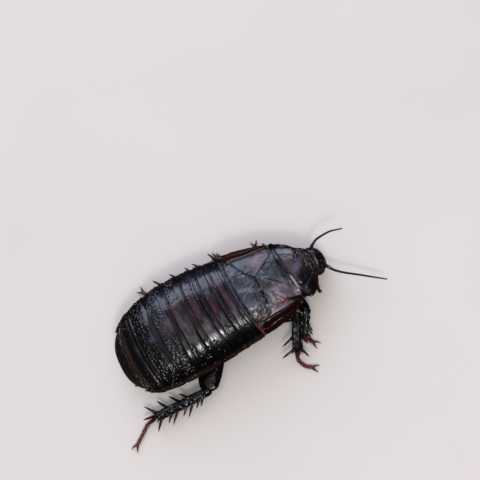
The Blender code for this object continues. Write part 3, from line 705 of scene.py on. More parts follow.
@dataclass
class Workshop:
    """Turns closed surfaces into shown pieces and keeps count of them.

    Attributes:
        materials: Finishes by slot, once made.
        total: Triangles of all pieces so far.
    """

    materials: dict[str, bpy.types.Material] = field(default_factory=dict)
    total: int = 0

    def mix_finishes(self) -> None:
        """Makes all finishes."""
        self.materials = {finish.slot: finish.build() for finish in FINISHES}

    def show(self, name: str, form: Form, slot: str, node: str) -> None:
        """Makes a piece that rides on the body and stands for a CAD node.

        Args:
            name: Name of the piece.
            form: Its closed surface in body millimetres.
            slot: Its finish.
            node: CAD node that it stands for.
        """
        mesh = bpy.data.meshes.new(name)
        places = ((form.points - BOX_MIDDLE) * MM).astype(np.float32)
        mesh.vertices.add(len(places))
        mesh.vertices.foreach_set("co", places.ravel())
        corners = np.concatenate([form.quads.ravel(), form.tris.ravel()]).astype(np.int32)
        mesh.loops.add(len(corners))
        mesh.loops.foreach_set("vertex_index", corners)
        first_tri = 4 * len(form.quads)
        starts = np.concatenate([np.arange(0, first_tri, 4), np.arange(first_tri, len(corners), 3)])
        mesh.polygons.add(len(starts))
        mesh.polygons.foreach_set("loop_start", starts.astype(np.int32))
        mesh.update(calc_edges=True)
        mesh.shade_smooth()
        colour = mesh.attributes.new("tint", "FLOAT_COLOR", "POINT")
        rgba = np.concatenate([np.clip(form.tint, 0.0, 1.0), np.ones((len(places), 1))], 1)
        colour.data.foreach_set("color", rgba.astype(np.float32).ravel())
        rough = mesh.attributes.new("polish", "FLOAT", "POINT")
        rough.data.foreach_set("value", np.clip(form.polish, 0.05, 1.0).astype(np.float32))
        mesh.materials.append(self.materials[slot])
        piece = bpy.data.objects.new(name, mesh)
        bpy.context.scene.collection.objects.link(piece)
        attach(piece, "root")
        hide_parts(node)
        self.total += form.count()
        LOG.info("%s: %d triangles", name, form.count())


# The back


@dataclass(frozen=True)
class Patch:
    """A soft-edged patch of colour on the back.

    Attributes:
        x: Middle along the body in millimetres.
        y: Middle across the body.
        length: Reach along the body.
        width: Reach across the body.
        strength: How strong it is at its middle.
    """

    x: float
    y: float
    length: float
    width: float
    strength: float

    def weight(self, points: Array) -> Array:
        """How strong the patch is at each point."""
        along = bell(points[..., 0], self.x, self.length)
        return self.strength * along * bell(points[..., 1], self.y, self.width)


@dataclass(frozen=True)
class BackForm:
    """The arch of the back along the body, and where its plates meet.

    Attributes:
        station_x: Lengths at which the measures are given.
        half_width: Half width of the back there.
        top_height: Height of its middle line.
        rim_height: Height of its rims.
        belly_height: Height of the middle of the belly.
        side_shift: Side position of the middle line.
        arch_power: How flat the arch is at its top.
        arch_root: How steeply the arch falls to the rims.
        hind_x: Hind margins of the metanotum and the seven tergites.
        left_forward: How much further ahead each margin lies at the left rim.
        right_forward: The same at the right rim.
        margin_power: How suddenly the margins turn ahead.
        corner_spike: Length of the spikes at the corners of the last tergite.
        corner_start: Share of the half width where those spikes begin.
        step: How far each hind margin stands above the next plate.
        gap: Space between plates.
    """

    station_x: tuple = (-17.3, -16.4, -15.5, -12.4, -8.8, -5.3, -2.1, 0.6, 3.1, 5.3, 7.6, 9.9, 12.5, 14.2)
    half_width: tuple = (3.4, 4.8, 5.75, 7.7, 8.4, 8.7, 8.7, 8.5, 8.15, 7.9, 7.85, 7.45, 6.7, 6.0)
    top_height: tuple = (4.0, 4.75, 5.4, 7.2, 8.1, 8.5, 8.6, 8.6, 8.5, 8.4, 8.3, 8.1, 7.9, 7.6)
    rim_height: tuple = (3.7, 3.75, 3.8, 3.9, 4.0, 4.0, 4.0, 4.0, 4.0, 4.1, 4.2, 4.3, 4.4, 4.5)
    belly_height: tuple = (3.3, 3.1, 3.0, 2.8, 2.7, 2.7, 2.7, 2.7, 2.8, 2.9, 2.95, 3.0, 3.1, 3.2)
    side_shift: tuple = (-0.3, -0.15, 0.0, 0.12, 0.25, 0.35, 0.35, 0.25, 0.1, -0.1, -0.1, -0.3, -0.45, -0.5)
    arch_power: float = 2.4
    arch_root: float = 0.78
    hind_x: tuple = (5.35, 3.3, 0.8, -2.0, -5.1, -8.7, -12.3, -15.45)
    left_forward: tuple = (0.0, -0.3, 0.3, 0.15, 0.1, 0.6, 0.3, 1.0)
    right_forward: tuple = (1.1, 0.9, 0.95, 0.3, -0.3, 0.5, 0.75, 1.2)
    margin_power: float = 2.2
    corner_spike: float = 1.2
    corner_start: float = 0.88
    step: float = 0.22
    gap: float = 0.3

    def measure(self, x: Array, values: tuple) -> Array:
        """One measure of the body, such as its half width, at lengths x."""
        return smooth_between(x, self.station_x, values)

    def arch(self, across: Array) -> Array:
        """Height of the back over its rim, as a share, at shares of the half width."""
        return (1.0 - np.clip(np.abs(across), 0.0, 1.0) ** self.arch_power) ** self.arch_root

    def point(self, x: Array, across: Array, lift: Array = 0.0, side_inset: Array = 0.0) -> Array:
        """Points of the back, or of the same arch raised or drawn in at its sides.

        Args:
            x: Lengths along the body.
            across: Shares of the half width, from -1 at the right rim to 1 at the left.
            lift: How much higher the middle line lies.
            side_inset: How much narrower the arch is on each side.

        Returns:
            The points, in body millimetres.
        """
        rim = self.measure(x, self.rim_height)
        top = self.measure(x, self.top_height) + lift
        side = self.measure(x, self.side_shift) + (self.measure(x, self.half_width) - side_inset) * across
        return np.stack(np.broadcast_arrays(x, side, rim + (top - rim) * self.arch(across)), -1)

    def share_at(self, x: Array, y: Array) -> Array:
        """Share of the half width at which a side position y lies."""
        return (y - self.measure(x, self.side_shift)) / self.measure(x, self.half_width)

    def even_shares(self, count: int) -> Array:
        """Shares from -1 to 1 that lie evenly over the arch of the back.

        Args:
            count: How many shares.

        Returns:
            The rising shares.
        """
        fine = np.sin(np.linspace(-0.5 * np.pi, 0.5 * np.pi, 4001))
        steps = np.hypot(np.diff(fine) * 8.5, np.diff(self.arch(fine)) * 4.5)
        reach = np.concatenate([[0.0], np.cumsum(steps)])
        return np.interp(end_dense(count, 0.25) * reach[-1], reach, fine)

    def hind_margin(self, number: int, across: Array) -> Array:
        """Where the hind margin of a plate lies: 0 is the metanotum, 7 the last tergite.

        Args:
            number: Number of the plate.
            across: Shares of the half width.

        Returns:
            The lengths along the body.
        """
        forward = np.where(across > 0, self.left_forward[number], self.right_forward[number])
        x = self.hind_x[number] + forward * np.abs(across) ** self.margin_power
        if number == len(self.hind_x) - 1:
            corner = np.clip((np.abs(across) - self.corner_start) / (1.0 - self.corner_start), 0.0, 1.0)
            x = x - self.corner_spike * corner**1.5
        return x


BACK = BackForm()


@dataclass(frozen=True)
class BackColour:
    """Where the black of the back turns slate, maroon or brown; slate and purple are partly painted sheen.

    Attributes:
        maroon: Patches where dark red shows through.
        red: Small patches of clearer red.
        purple: Patches of dusky purple, partly tone and partly painted sheen from above.
        slate: Patches of slate-blue, partly tone and partly painted sheen, most of them on the left.
        dark: Patches that stay black.
    """

    maroon: tuple = (
        Patch(4.25, 0.6, 0.7, 1.9, 0.55), Patch(1.65, 1.2, 0.7, 1.3, 0.5), Patch(-1.35, 1.6, 0.9, 1.1, 0.9),
        Patch(-1.5, -0.9, 0.8, 1.1, 0.75), Patch(-4.5, 1.7, 0.5, 1.1, 0.95), Patch(2.9, -0.6, 0.5, 2.4, 0.35),
    )
    red: tuple = (
        Patch(1.45, -0.9, 0.35, 0.8, 0.75), Patch(1.45, -2.9, 0.28, 1.2, 0.5),
        Patch(1.5, 0.4, 0.35, 0.8, 0.3), Patch(4.2, -1.0, 0.6, 0.8, 0.2),
    )
    purple: tuple = (
        Patch(-3.7, -0.6, 0.8, 1.5, 0.75), Patch(-6.5, 0.5, 1.1, 1.4, 0.7), Patch(4.3, -2.4, 0.8, 1.2, 0.8),
        Patch(-0.7, -2.2, 0.9, 1.2, 0.6), Patch(2.4, 2.6, 1.2, 1.2, 0.5), Patch(-1.0, 3.4, 1.0, 0.9, 0.55),
        Patch(-4.0, 3.4, 0.8, 1.0, 0.35),
    )
    slate: tuple = (
        Patch(4.5, 4.2, 1.0, 1.3, 0.8), Patch(1.8, 5.2, 1.6, 1.5, 0.6), Patch(-1.0, 5.4, 1.6, 1.5, 0.6),
        Patch(-4.0, 5.4, 1.4, 1.6, 0.7), Patch(-6.8, 5.0, 1.1, 1.9, 0.8), Patch(-9.6, 4.0, 0.45, 1.4, 0.9),
        Patch(-9.9, 0.1, 0.6, 0.9, 0.95), Patch(-8.9, 0.2, 0.35, 1.6, 0.7),
        Patch(-13.0, -0.5, 0.35, 0.7, 0.5),
        Patch(5.9, 0.0, 0.6, 4.0, 0.5), Patch(7.5, -2.7, 1.0, 0.9, 0.9), Patch(6.9, -4.0, 0.9, 0.9, 0.75),
        Patch(7.9, 2.7, 0.6, 1.2, 0.8), Patch(6.3, 2.6, 0.9, 1.2, 0.6), Patch(7.6, 0.3, 1.2, 1.0, 0.35),
        Patch(11.6, 0.3, 1.6, 1.2, 0.35), Patch(13.2, -1.6, 0.8, 1.4, 0.4), Patch(4.6, -4.6, 0.8, 1.0, 0.7),
        Patch(1.0, -4.9, 1.6, 0.8, 0.6), Patch(-3.6, -4.3, 0.8, 0.7, 0.5),
    )
    dark: tuple = (
        Patch(-13.7, 1.2, 0.7, 1.3, 0.9), Patch(-5.4, -3.0, 0.7, 3.0, 0.8), Patch(8.2, -2.2, 0.5, 0.4, 0.6),
        Patch(-7.6, -3.5, 1.2, 2.2, 0.6), Patch(-10.6, -3.0, 1.4, 2.4, 0.6),
    )

    def tint(self, points: Array, pits: Array, seed: int) -> Array:
        """Colours of the back at each point.

        Args:
            points: Places in body millimetres.
            pits: How deep in a pit each point lies, from 0 to 1, which darkens the pits as painted shade.
            seed: Whole number that picks the clouds in the colour.

        Returns:
            A colour at each point.
        """
        skin = Skin(points, seed)
        uneven = 0.85 + 0.6 * skin.clouds(0, 1.6, 4) + 0.6 * skin.clouds(1, 0.6, 3, (1.0, 0.35, 0.35))
        uneven = np.clip(uneven, 0.0, 1.3)
        drift = np.stack([skin.clouds(step, 1.1) for step in (31, 32)], -1)
        moved = points[..., :2] + drift * np.array([0.3, 0.9])
        # The slate and purple coats are partly tone and partly painted sheen.
        shades = ((self.slate, SLATE), (self.purple, PURPLE), (self.maroon, MAROON), (self.red, CLEAR_RED))
        coats = [(shade, self.cover(patches, moved) * uneven) for patches, shade in shades]
        # Black in the pits is painted shade.
        coats += [(BLACK, self.cover(self.dark, points)), (BLACK * 0.6, 0.85 * pits)]
        return painted(BLACK, coats)

    def cover(self, patches: tuple, points: Array) -> Array:
        """How much of each point the patches cover together, from 0 to 1."""
        return np.clip(sum(patch.weight(points) for patch in patches), 0.0, 1.0)


COLOURS = BackColour()


@dataclass
class Abdomen:
    """The seven tergites, the plate at the tail and the tail feelers.

    Attributes:
        shop: Where pieces are made.
        roughness: How grainy each tergite is, from smooth at the front to rough at the tail.
        lip: How pale the lip of each tergite is.
        lip_glow: How much paler it is on the right of its middle, as painted highlight.
        calm_spots: Patches of each tergite that are smoother than the rest of it.
        rows: Rows of points along a tergite.
        columns: Columns of points across it.
        thickness: Thickness of the plates in millimetres.
        tuck: How far a tergite runs on under the plate before it.
        tail_reach: How far the plate at the tail stands out behind the last tergite.
        tail_half_width: Half width of that plate.
        tail_centre: Side position of the middle of the tail.
        tail_top: Height of the plate's top.
        tail_rim: Height of its rim.
        tail_thickness: Its thickness.
        cercus_root: Root of the left tail feeler, measured across from the middle of the tail.
        cercus_tip: Its tip.
        cercus_radius: Its half width.
        cercus_rings: How many rings it has.
    """

    shop: Workshop
    roughness: tuple = (0.05, 0.05, 0.08, 0.25, 0.75, 0.95, 0.7)
    lip: tuple = (0.12, 0.12, 0.12, 0.12, 0.17, 0.18, 0.34)
    lip_glow: tuple = (0.0, 0.1, 0.7, 0.7, 0.1, 0.05, 0.0)
    calm_spots: tuple = (
        (),
        (Patch(1.5, -4.4, 2.0, 1.8, 0.6),),
        (Patch(-0.9, -4.4, 2.0, 1.8, 0.8),),
        (Patch(-3.6, -4.4, 2.0, 1.7, 0.8),),
        (Patch(-6.6, 0.4, 1.0, 1.2, 0.9),),
        (Patch(-9.9, 0.1, 0.6, 0.9, 1.0), Patch(-9.75, 4.1, 0.5, 1.3, 0.6)),
        (Patch(-13.7, 1.1, 0.6, 1.3, 0.9),),
    )
    rows: int = 66
    columns: int = 280
    thickness: float = 0.55
    tuck: float = 0.4
    tail_reach: float = 1.5
    tail_half_width: float = 5.75
    tail_centre: float = -0.35
    tail_top: float = 5.32
    tail_rim: float = 3.75
    tail_thickness: float = 0.45
    cercus_root: tuple = (-15.6, 3.25, 2.95)
    cercus_tip: tuple = (-16.7, 3.62, 2.9)
    cercus_radius: float = 0.35
    cercus_rings: int = 6

    def build(self) -> None:
        """Makes all pieces of the abdomen."""
        for number in range(1, len(BACK.hind_x)):
            self.tergite(number)
        self.tail_plate()
        for side in Side:
            self.cercus(side)

    def texture(self, skin: Skin, rough: Array) -> tuple[Array, Array]:
        """Pits where the shell is smooth, rows of grains where it is rough.

        Args:
            skin: The shell's random patterns.
            rough: How rough the shell is at each point, from 0 to 1.

        Returns:
            The height in millimetres and how deep in a pit each point lies, from 0 to 1.
        """
        none = 0.95 - 0.75 * np.clip(rough + 0.1, 0.0, 1.0)
        pit = skin.pits(0, 0.5, 0.13, none, none + 0.1)
        coarse = ramp(rough, 0.4, 0.8)
        grains = 0.1 * skin.domes(40, 0.54, 0.14, 0.13, 0.1, 0.3)
        gap, value = Grain(skin.seed + 60).spots(skin.flat, 0.3)
        dust = 0.03 * np.clip(1.0 - (gap / 0.12) ** 2, 0.0, 1.0) * value
        height = -0.09 * pit * (1.0 - 0.6 * coarse) + (grains + dust) * coarse
        height += skin.clouds(80, 0.25, 2) * (0.003 + 0.01 * rough)
        return height, np.clip(pit * (1.0 - 0.5 * coarse), 0.0, 1.0)

    def tergite(self, number: int) -> None:
        """Makes one tergite: a tucked front, a sunk smooth strip, a ridge, the disc, a groove and a pale lip.

        Args:
            number: Number of the tergite, from 1 behind the thorax to 7.
        """
        shares = BACK.even_shares(self.columns)
        along = end_dense(self.rows)[:, None]
        margin = BACK.hind_margin(number - 1, shares[None])
        wobble = Grain(Seed.MARGINS + number).cloud(np.stack([shares * 6.0, shares * 0.0], -1), 0.7)
        end = BACK.hind_margin(number, shares[None]) + 0.05 * wobble
        x = end + (margin + self.tuck - end) * along
        behind = margin - x
        across = np.broadcast_to(shares, x.shape)
        tucked = ramp(behind, 0.05, -0.15)
        grid = BACK.point(x, across, BACK.step * (1.0 - along) - 0.1 * tucked, 0.25 * tucked)
        hind, _, right, _ = edge_distances(grid)
        flat = np.stack([x, right - right[:, [np.abs(shares).argmin()]]], -1)
        skin = Skin(flat, Seed.TERGITES + 10 * number)
        side, y = np.abs(across), grid[..., 1]

        rough = self.roughness[number - 1] + 0.4 * ramp(side, 0.68, 0.85) + 0.25 * skin.hills(0, 2.0)
        rough = rough - sum(patch.weight(grid) for patch in self.calm_spots[number - 1])
        rough = rough * (1.0 - 0.4 * ramp(y, -4.9, -5.8))
        disc = ramp(behind, 0.65, 1.0) * ramp(hind, 0.42, 0.62)
        texture, pits = self.texture(skin, np.clip(rough, 0.0, 1.0) * disc)
        strip = ramp(behind, 0.72, 0.45)
        groove = bell(hind, 0.3, 0.08)
        lip = ramp(hind, 0.24, 0.16)
        folds = 0.06 * skin.clouds(3, 0.6, 3, (1.0, 0.12))
        relief = texture + 0.06 * skin.hills(1, 1.7, (1.0, 0.6)) + 0.03 * skin.hills(2, 0.8, (1.0, 0.4))
        relief += folds * (1.0 - strip) - 0.1 * strip + 0.045 * bell(behind, 0.95, 0.12)
        relief += 0.02 * lip - 0.09 * groove + 0.07 * ramp(side, 0.955, 0.985) - 0.06 * bell(side, 0.93, 0.02)

        shade = skin.clouds(9, 0.5, 3, (1.0, 0.2))
        front = ramp(number, 6.5, 3.5) * ramp(y, -5.0, -2.0)
        # The lip is paler on the right of its middle by a painted highlight.
        pale = self.lip[number - 1] + self.lip_glow[number - 1] * bell(y, -4.0, 1.6)
        flange = ramp(side, 0.9, 0.97) * (0.75 + 0.4 * skin.clouds(5, 0.9))
        coats = [
            # Slate and black streaks, kept off the right flank: partly tone, partly painted sheen.
            (SLATE * 1.15, 0.45 * ramp(shade, 0.05, 0.4) * front * ramp(y, 6.5, 4.5)),
            (BLACK, 0.7 * ramp(shade, -0.1, -0.4) * front),
            # Painted shade darkens the sunk strip under the plate before it, except on the left, and the
            # groove before the lip.
            (BLACK * 0.7, 0.72 * strip * ramp(y, 5.0, 2.5) + 0.9 * groove),
            (LIP * 1.2, 0.9 * lip * (0.6 + 0.5 * skin.hills(4, 2.4)) * pale),
            (BROWN * 0.8, 0.35 * bell(behind, 0.95, 0.1) * self.lip[number - 1]),
            (BROWN * 0.22, 0.8 * flange),
            (DARK_RED * 0.28, 0.7 * bell(side, 0.985, 0.012)),
            # Painted shade darkens the right flank.
            (BLACK * 0.4, 0.8 * ramp(y, -5.6, -6.8) * ramp(side, 0.97, 0.94)),
        ]
        polish = 0.17 + 0.05 * np.clip(rough, 0.0, 1.0) * disc + 0.18 * flange + 0.05 * skin.clouds(7, 0.7)
        if number >= 6:
            coats.append((BROWN * 0.1, 0.25 + 0.3 * skin.hills(6, 1.2)))
        if number == 7:
            polish += 0.05
            seam = bell(hind, 0.75, 0.09) + bell(hind, 1.15, 0.07) * ramp(y, -4.0, 0.0)
            coats.append((BROWN * 1.3, 0.6 * seam))
        tint = painted(COLOURS.tint(grid, pits, skin.seed), coats)
        form = plate(grid, self.thickness, relief, tint, polish)
        self.shop.show(f"tergite_{number}_shell", form, "black_cuticle", f"tergite_{number}")

    def tail_plate(self) -> None:
        """Makes the supra-anal plate: a rounded lobe with a thick brown rim."""
        across = np.sin((end_dense(190, 0.4) * 2.0 - 1.0) * 0.5 * np.pi)[None]
        along = end_dense(40)[:, None]
        start = BACK.hind_margin(7, 0.75 * across) + self.tuck
        lobe = np.clip(1.0 - np.abs(across) ** 2.7, 0.0, 1.0) ** 0.75
        reach = (self.tail_reach + BACK.gap) * lobe + self.tuck
        rise = (self.tail_top - self.tail_rim) * BACK.arch(across) * (1.0 - 0.76 * (1.0 - along) ** 2)
        x = start - reach * (1.0 - along)
        grid = np.stack(np.broadcast_arrays(x, self.tail_half_width * across, self.tail_rim + rise), -1)
        hind = edge_distances(grid)[0]
        skin = Skin(grid[..., :2], Seed.TAIL_PLATE)
        texture, pits = self.texture(skin, 0.75 * ramp(hind, 0.1, 0.5))
        relief = texture + 0.05 * bell(hind, 0.18, 0.12) - 0.06 * bell(hind, 0.5, 0.15)
        tint = painted(BLACK, (
            (BROWN * 0.13, 0.35 + 0.3 * skin.clouds(1, 0.8)),
            (BROWN * 0.8, 0.8 * bell(hind, 0.1, 0.2)),
            (BROWN * 0.7, 0.6 * bell(hind, 0.75, 0.08)),
            # Black in the pits is painted shade.
            (BLACK * 0.6, 0.7 * pits),
        ))
        form = plate(grid, self.tail_thickness, relief, tint, 0.34 + 0.05 * skin.clouds(2, 0.6))
        self.shop.show("tail_plate_shell", form, "black_cuticle", "supra_anal_plate")

    def cercus(self, side: Side) -> None:
        """Makes a short tail feeler of a few rings that taper to a tip.

        Args:
            side: Which of the two.
        """
        mirror = np.array([1.0, side.value, 1.0])
        middle = CROSSWAYS * self.tail_centre
        start, end = (np.array(place) * mirror + middle for place in (self.cercus_root, self.cercus_tip))
        share = np.linspace(0.0, 1.0, 60)
        rings = 0.94 + 0.06 * np.sin(share * 2.0 * np.pi * self.cercus_rings)
        size = self.cercus_radius * rings * rounded(share, 0.12, 0.55) + 0.005
        tint = mix(BLACK * 1.5, DARK_RED * 0.6, ramp(share, 0.5, 1.0))[:, None]
        limb = Limb(start + (end - start) * share[:, None], size, size * 0.85, 28)
        form = limb.form(0.008 * Grain(Seed.CERCI).cloud(limb.flat, 0.12), tint, 0.3)
        self.shop.show(f"cercus_{side.word}_rings", form, "leg_cuticle", f"cercus_{side.word}")


@dataclass
class ThoraxPlates:
    """The metanotum, the mesonotum, the two torn wing stubs and the pronotum.

    Attributes:
        shop: Where pieces are made.
        thickness: Thickness of the plates in millimetres.
        metanotum_front: Front end of the metanotum.
        metanotum_tuck: How much narrower it is where it is covered.
        cover_lead: How far it dips behind the covering edge.
        cover_run: Length over which it dips.
        cover_depth: How deep it dips.
        mesonotum_hind: Hind end of the mesonotum.
        mesonotum_front: Its front end.
        front_tuck: How far mesonotum and stubs run on under the pronotum.
        edge_x: Lengths at which the edges of the mesonotum are given.
        left_edge: Side position of its left edge there.
        right_edge: Side position of its right edge there.
        stub_thickness: Thickness of a wing stub.
        stub_lift: How much higher a stub's inner edge lies than the back.
        stub_raise: How much higher all of it lies.
        stub_edge_gap: Space between a stub and the mesonotum.
        stub_shares: Shares across each stub at which its torn edge is given.
        stub_rear_x: Lengths of the torn edge there.
        strip_start: Share across each stub where its folded outer strip starts.
        vein_width: How wide the veins of that strip are.
        near_line_x: Lengths between which the painted shade beside each stub comes in.
        pronotum_place: Middle of the pronotum's hind margin.
        pronotum_yaw: How far it is turned to the left.
        pronotum_length: Its length.
        pronotum_shares: Shares of the length at which its outline is given.
        pronotum_half: Half width there.
        pronotum_centre: Side position of its middle there.
        pronotum_top: Height of its top behind and in front.
        pronotum_rim: Height of its rim behind and in front.
        trough_depth: Depth of the trough inside its rim.
        dent_depth: Depth of the dent in front of its middle.
    """

    shop: Workshop
    thickness: float = 0.55
    metanotum_front: float = 10.4
    metanotum_tuck: float = 0.9
    cover_lead: float = -0.08
    cover_run: float = 0.5
    cover_depth: float = 0.7
    mesonotum_hind: float = 9.8
    mesonotum_front: float = 13.9
    front_tuck: float = 0.85
    edge_x: tuple = (9.9, 11.3, 12.9, 14.2)
    left_edge: tuple = (0.55, 1.2, 2.25, 3.1)
    right_edge: tuple = (-4.9, -5.0, -5.15, -5.3)
    stub_thickness: float = 0.5
    stub_lift: float = 0.15
    stub_raise: float = 0.16
    stub_edge_gap: float = 0.02
    stub_shares: dict = field(default_factory=lambda: {
        Side.LEFT: (0.0, 0.16, 0.45, 0.69, 1.0), Side.RIGHT: (0.0, 0.29, 0.4, 0.6, 1.0),
    })
    stub_rear_x: dict = field(default_factory=lambda: {
        Side.LEFT: (9.85, 8.84, 7.95, 6.72, 5.15), Side.RIGHT: (9.6, 9.35, 8.4, 7.4, 7.0),
    })
    strip_start: dict = field(default_factory=lambda: {Side.LEFT: 0.64, Side.RIGHT: 0.43})
    vein_width: dict = field(default_factory=lambda: {Side.LEFT: 0.2, Side.RIGHT: 0.1})
    near_line_x: dict = field(default_factory=lambda: {Side.LEFT: (10.2, 11.0), Side.RIGHT: (12.4, 13.0)})
    pronotum_place: tuple = (14.2, -0.45)
    pronotum_yaw: float = math.radians(5.0)
    pronotum_length: float = 5.75
    pronotum_shares: tuple = (0.0, 0.1, 0.26, 0.43, 0.55, 0.68, 0.83, 1.0)
    pronotum_half: tuple = (5.3, 5.62, 5.7, 5.2, 4.65, 3.9, 3.1, 2.3)
    pronotum_centre: tuple = (0.3, 0.1, -0.45, -0.68, -0.7, -0.66, -0.6, -0.6)
    pronotum_top: tuple = (7.75, 5.8)
    pronotum_rim: tuple = (4.35, 4.25)
    trough_depth: float = 0.28
    dent_depth: float = 0.3

    def build(self) -> None:
        """Makes all plates of the thorax."""
        self.metanotum()
        self.mesonotum()
        for side in Side:
            self.wing_stub(side)
        self.pronotum()

    def inner_edge(self, side: Side, x: Array) -> Array:
        """Side position of the line between the mesonotum and a wing stub at lengths x."""
        return smooth_between(x, self.edge_x, self.left_edge if side is Side.LEFT else self.right_edge)

    def cover_edge(self, y: Array) -> Array:
        """How far back the mesonotum or a wing stub lies over the metanotum.

        Args:
            y: Side positions.

        Returns:
            Lengths along the body of the covering edge.
        """
        edges = []
        for side in Side:
            inner = self.inner_edge(side, self.mesonotum_hind)
            outer = side.value * BACK.measure(BACK.hind_x[0], BACK.half_width)
            share = (y - inner) / (outer - inner)
            edges.append(smooth_between(share, self.stub_shares[side], self.stub_rear_x[side]))
        return np.where(y > 0, edges[0], edges[1])

    def metanotum(self) -> None:
        """Makes the wrinkled hind plate of the thorax, which dips under the plate before it."""
        along = end_dense(90)[:, None]
        shares = BACK.even_shares(270)[None]
        x = BACK.hind_margin(0, shares) * (1.0 - along) + self.metanotum_front * along
        across = np.broadcast_to(shares, x.shape)
        ahead = x - self.cover_edge(BACK.point(x, across)[..., 1]) + self.cover_lead
        covered = np.clip(ahead / self.cover_run, 0.0, 1.0)
        lift = BACK.step * (1.0 - along) - (self.cover_depth + BACK.step) * covered
        grid = BACK.point(x, across, side_inset=0.2 + self.metanotum_tuck * covered)
        grid[..., 2] += lift * (0.2 + 0.8 * BACK.arch(across))
        hind = edge_distances(grid)[0]
        y = grid[..., 1]
        skin = Skin(grid[..., :2], Seed.METANOTUM)
        turned = Skin(np.stack([x + 0.35 * y, y - 0.25 * x], -1), Seed.METANOTUM)

        ridge_y = -0.35 - 0.2 * (x - 6.0)
        ridge = 0.17 * bell(y, ridge_y, 0.2) * ramp(x, 5.9, 6.7) * ramp(x, 9.4, 8.4)
        hollows = 0.1 * bell(y, ridge_y + 0.85, 0.5) * ramp(x, 6.3, 7.6)
        hollows += 0.12 * bell(y, ridge_y - 0.9, 0.4) * ramp(x, 6.5, 7.8)
        boss = 0.22 * bell(x, 6.5, 1.0) * bell(y, -3.5, 1.3) + 0.16 * bell(x, 6.6, 1.0) * bell(y, 2.6, 1.4)
        boss += 0.14 * bell(x, 8.0, 0.7) * bell(y, -3.8, 0.8)
        wrinkles = 0.085 * turned.clouds(0, 0.75, 3, (0.6, 1.2)) + 0.05 * np.abs(skin.hills(1, 0.4))
        pits = skin.pits(2, 0.55, 0.14, 0.55, 0.75) * ramp(hind, 0.5, 0.9)
        rim = np.where(y > 0, ramp(across, 0.68, 0.76), ramp(-across, 0.6, 0.68))
        rim = rim * (0.85 + 0.4 * skin.clouds(3, 0.7))
        creases = skin.clouds(4, 0.6, 3, (0.5, 1.3))
        relief = ridge - hollows + boss + wrinkles - 0.06 * pits + 0.2 * rim * creases
        relief += 0.06 * bell(hind, 0.16, 0.12) - 0.12 * bell(hind, 0.55, 0.14)

        outer = ramp(np.abs(across), 0.76, 0.84)
        right_rim = BROWN * 0.3 * (1.0 - outer[..., None]) + DARK_RED * 0.55 * outer[..., None]
        # Painted shade where the metanotum dips under the covering edge.
        shade_under_cover = bell(ahead, -0.22, 0.24 + 0.14 * ramp(y, 0.0, 1.5)) + ramp(ahead, -0.1, 0.0)
        shade_under_cover = np.clip(shade_under_cover, 0.0, 1.0) * (1.0 - 0.7 * bell(y, -0.9, 1.0))
        cross_line = bell(x - 0.12 * np.sin(3.0 * y), 8.5, 0.12) * bell(y, -2.7, 1.0)
        sheen = bell(x, 7.2, 1.1) * bell(y, -3.9, 0.9) * ramp(wrinkles, -0.02, 0.05)
        tint = painted(COLOURS.tint(grid, pits, skin.seed), (
            (SLATE * 0.95, (0.7 + 0.4 * turned.clouds(7, 1.1, 4)) * ramp(hind, 0.6, 0.9)),
            # Lighter slate on the wrinkle crests and the ridge is painted highlight.
            (SLATE * 1.6, 0.5 * ramp(wrinkles, 0.03, 0.08) + 0.5 * ramp(ridge, 0.08, 0.15)),
            (TEAL, 0.8 * bell(x, 6.5, 0.5) * bell(y, 2.4, 0.6)),
            # Black in the groove before the hind lip is painted shade.
            (BLACK * 0.7, 0.8 * bell(hind, 0.55, 0.12)),
            (PURPLE * 0.8, 0.6 * bell(hind, 0.12, 0.16)),
            (np.where((y > 0)[..., None], BROWN * 0.22, right_rim), 0.85 * rim),
            # Pale brown on the crease crests is painted highlight, and black in their hollows is painted
            # shade.
            (PALE_BROWN * 0.55, 0.7 * rim * bell(creases, 0.35, 0.12)),
            (BLACK * 0.6, 0.8 * rim * ramp(creases, -0.05, -0.3)),
            (CLEAR_RED * 1.3, 0.7 * bell(x, 6.2, 0.35) * bell(y, -6.35, 0.5)),
            (BROWN * 0.6, 0.7 * bell(x, 9.3, 0.45) * bell(y, -1.2, 0.75)),
            # Black under the covering edge is painted shade.
            (BLACK * 0.5, 0.95 * shade_under_cover),
            (BLACK * 0.6, 0.85 * cross_line),
            (PALE_HIGHLIGHT * 1.1, 0.6 * sheen),
        ))
        polish = 0.22 + 0.07 * skin.clouds(6, 0.8) + 0.14 * rim
        form = plate(grid, self.thickness, relief, tint, polish)
        self.shop.show("metanotum_shell", form, "black_cuticle", "metanotum")

    def front_line(self, x: Array, y: Array) -> Array:
        """Lengths turned with the pronotum, to run along its hind margin."""
        return x - math.tan(self.pronotum_yaw) * (y - self.pronotum_place[1])

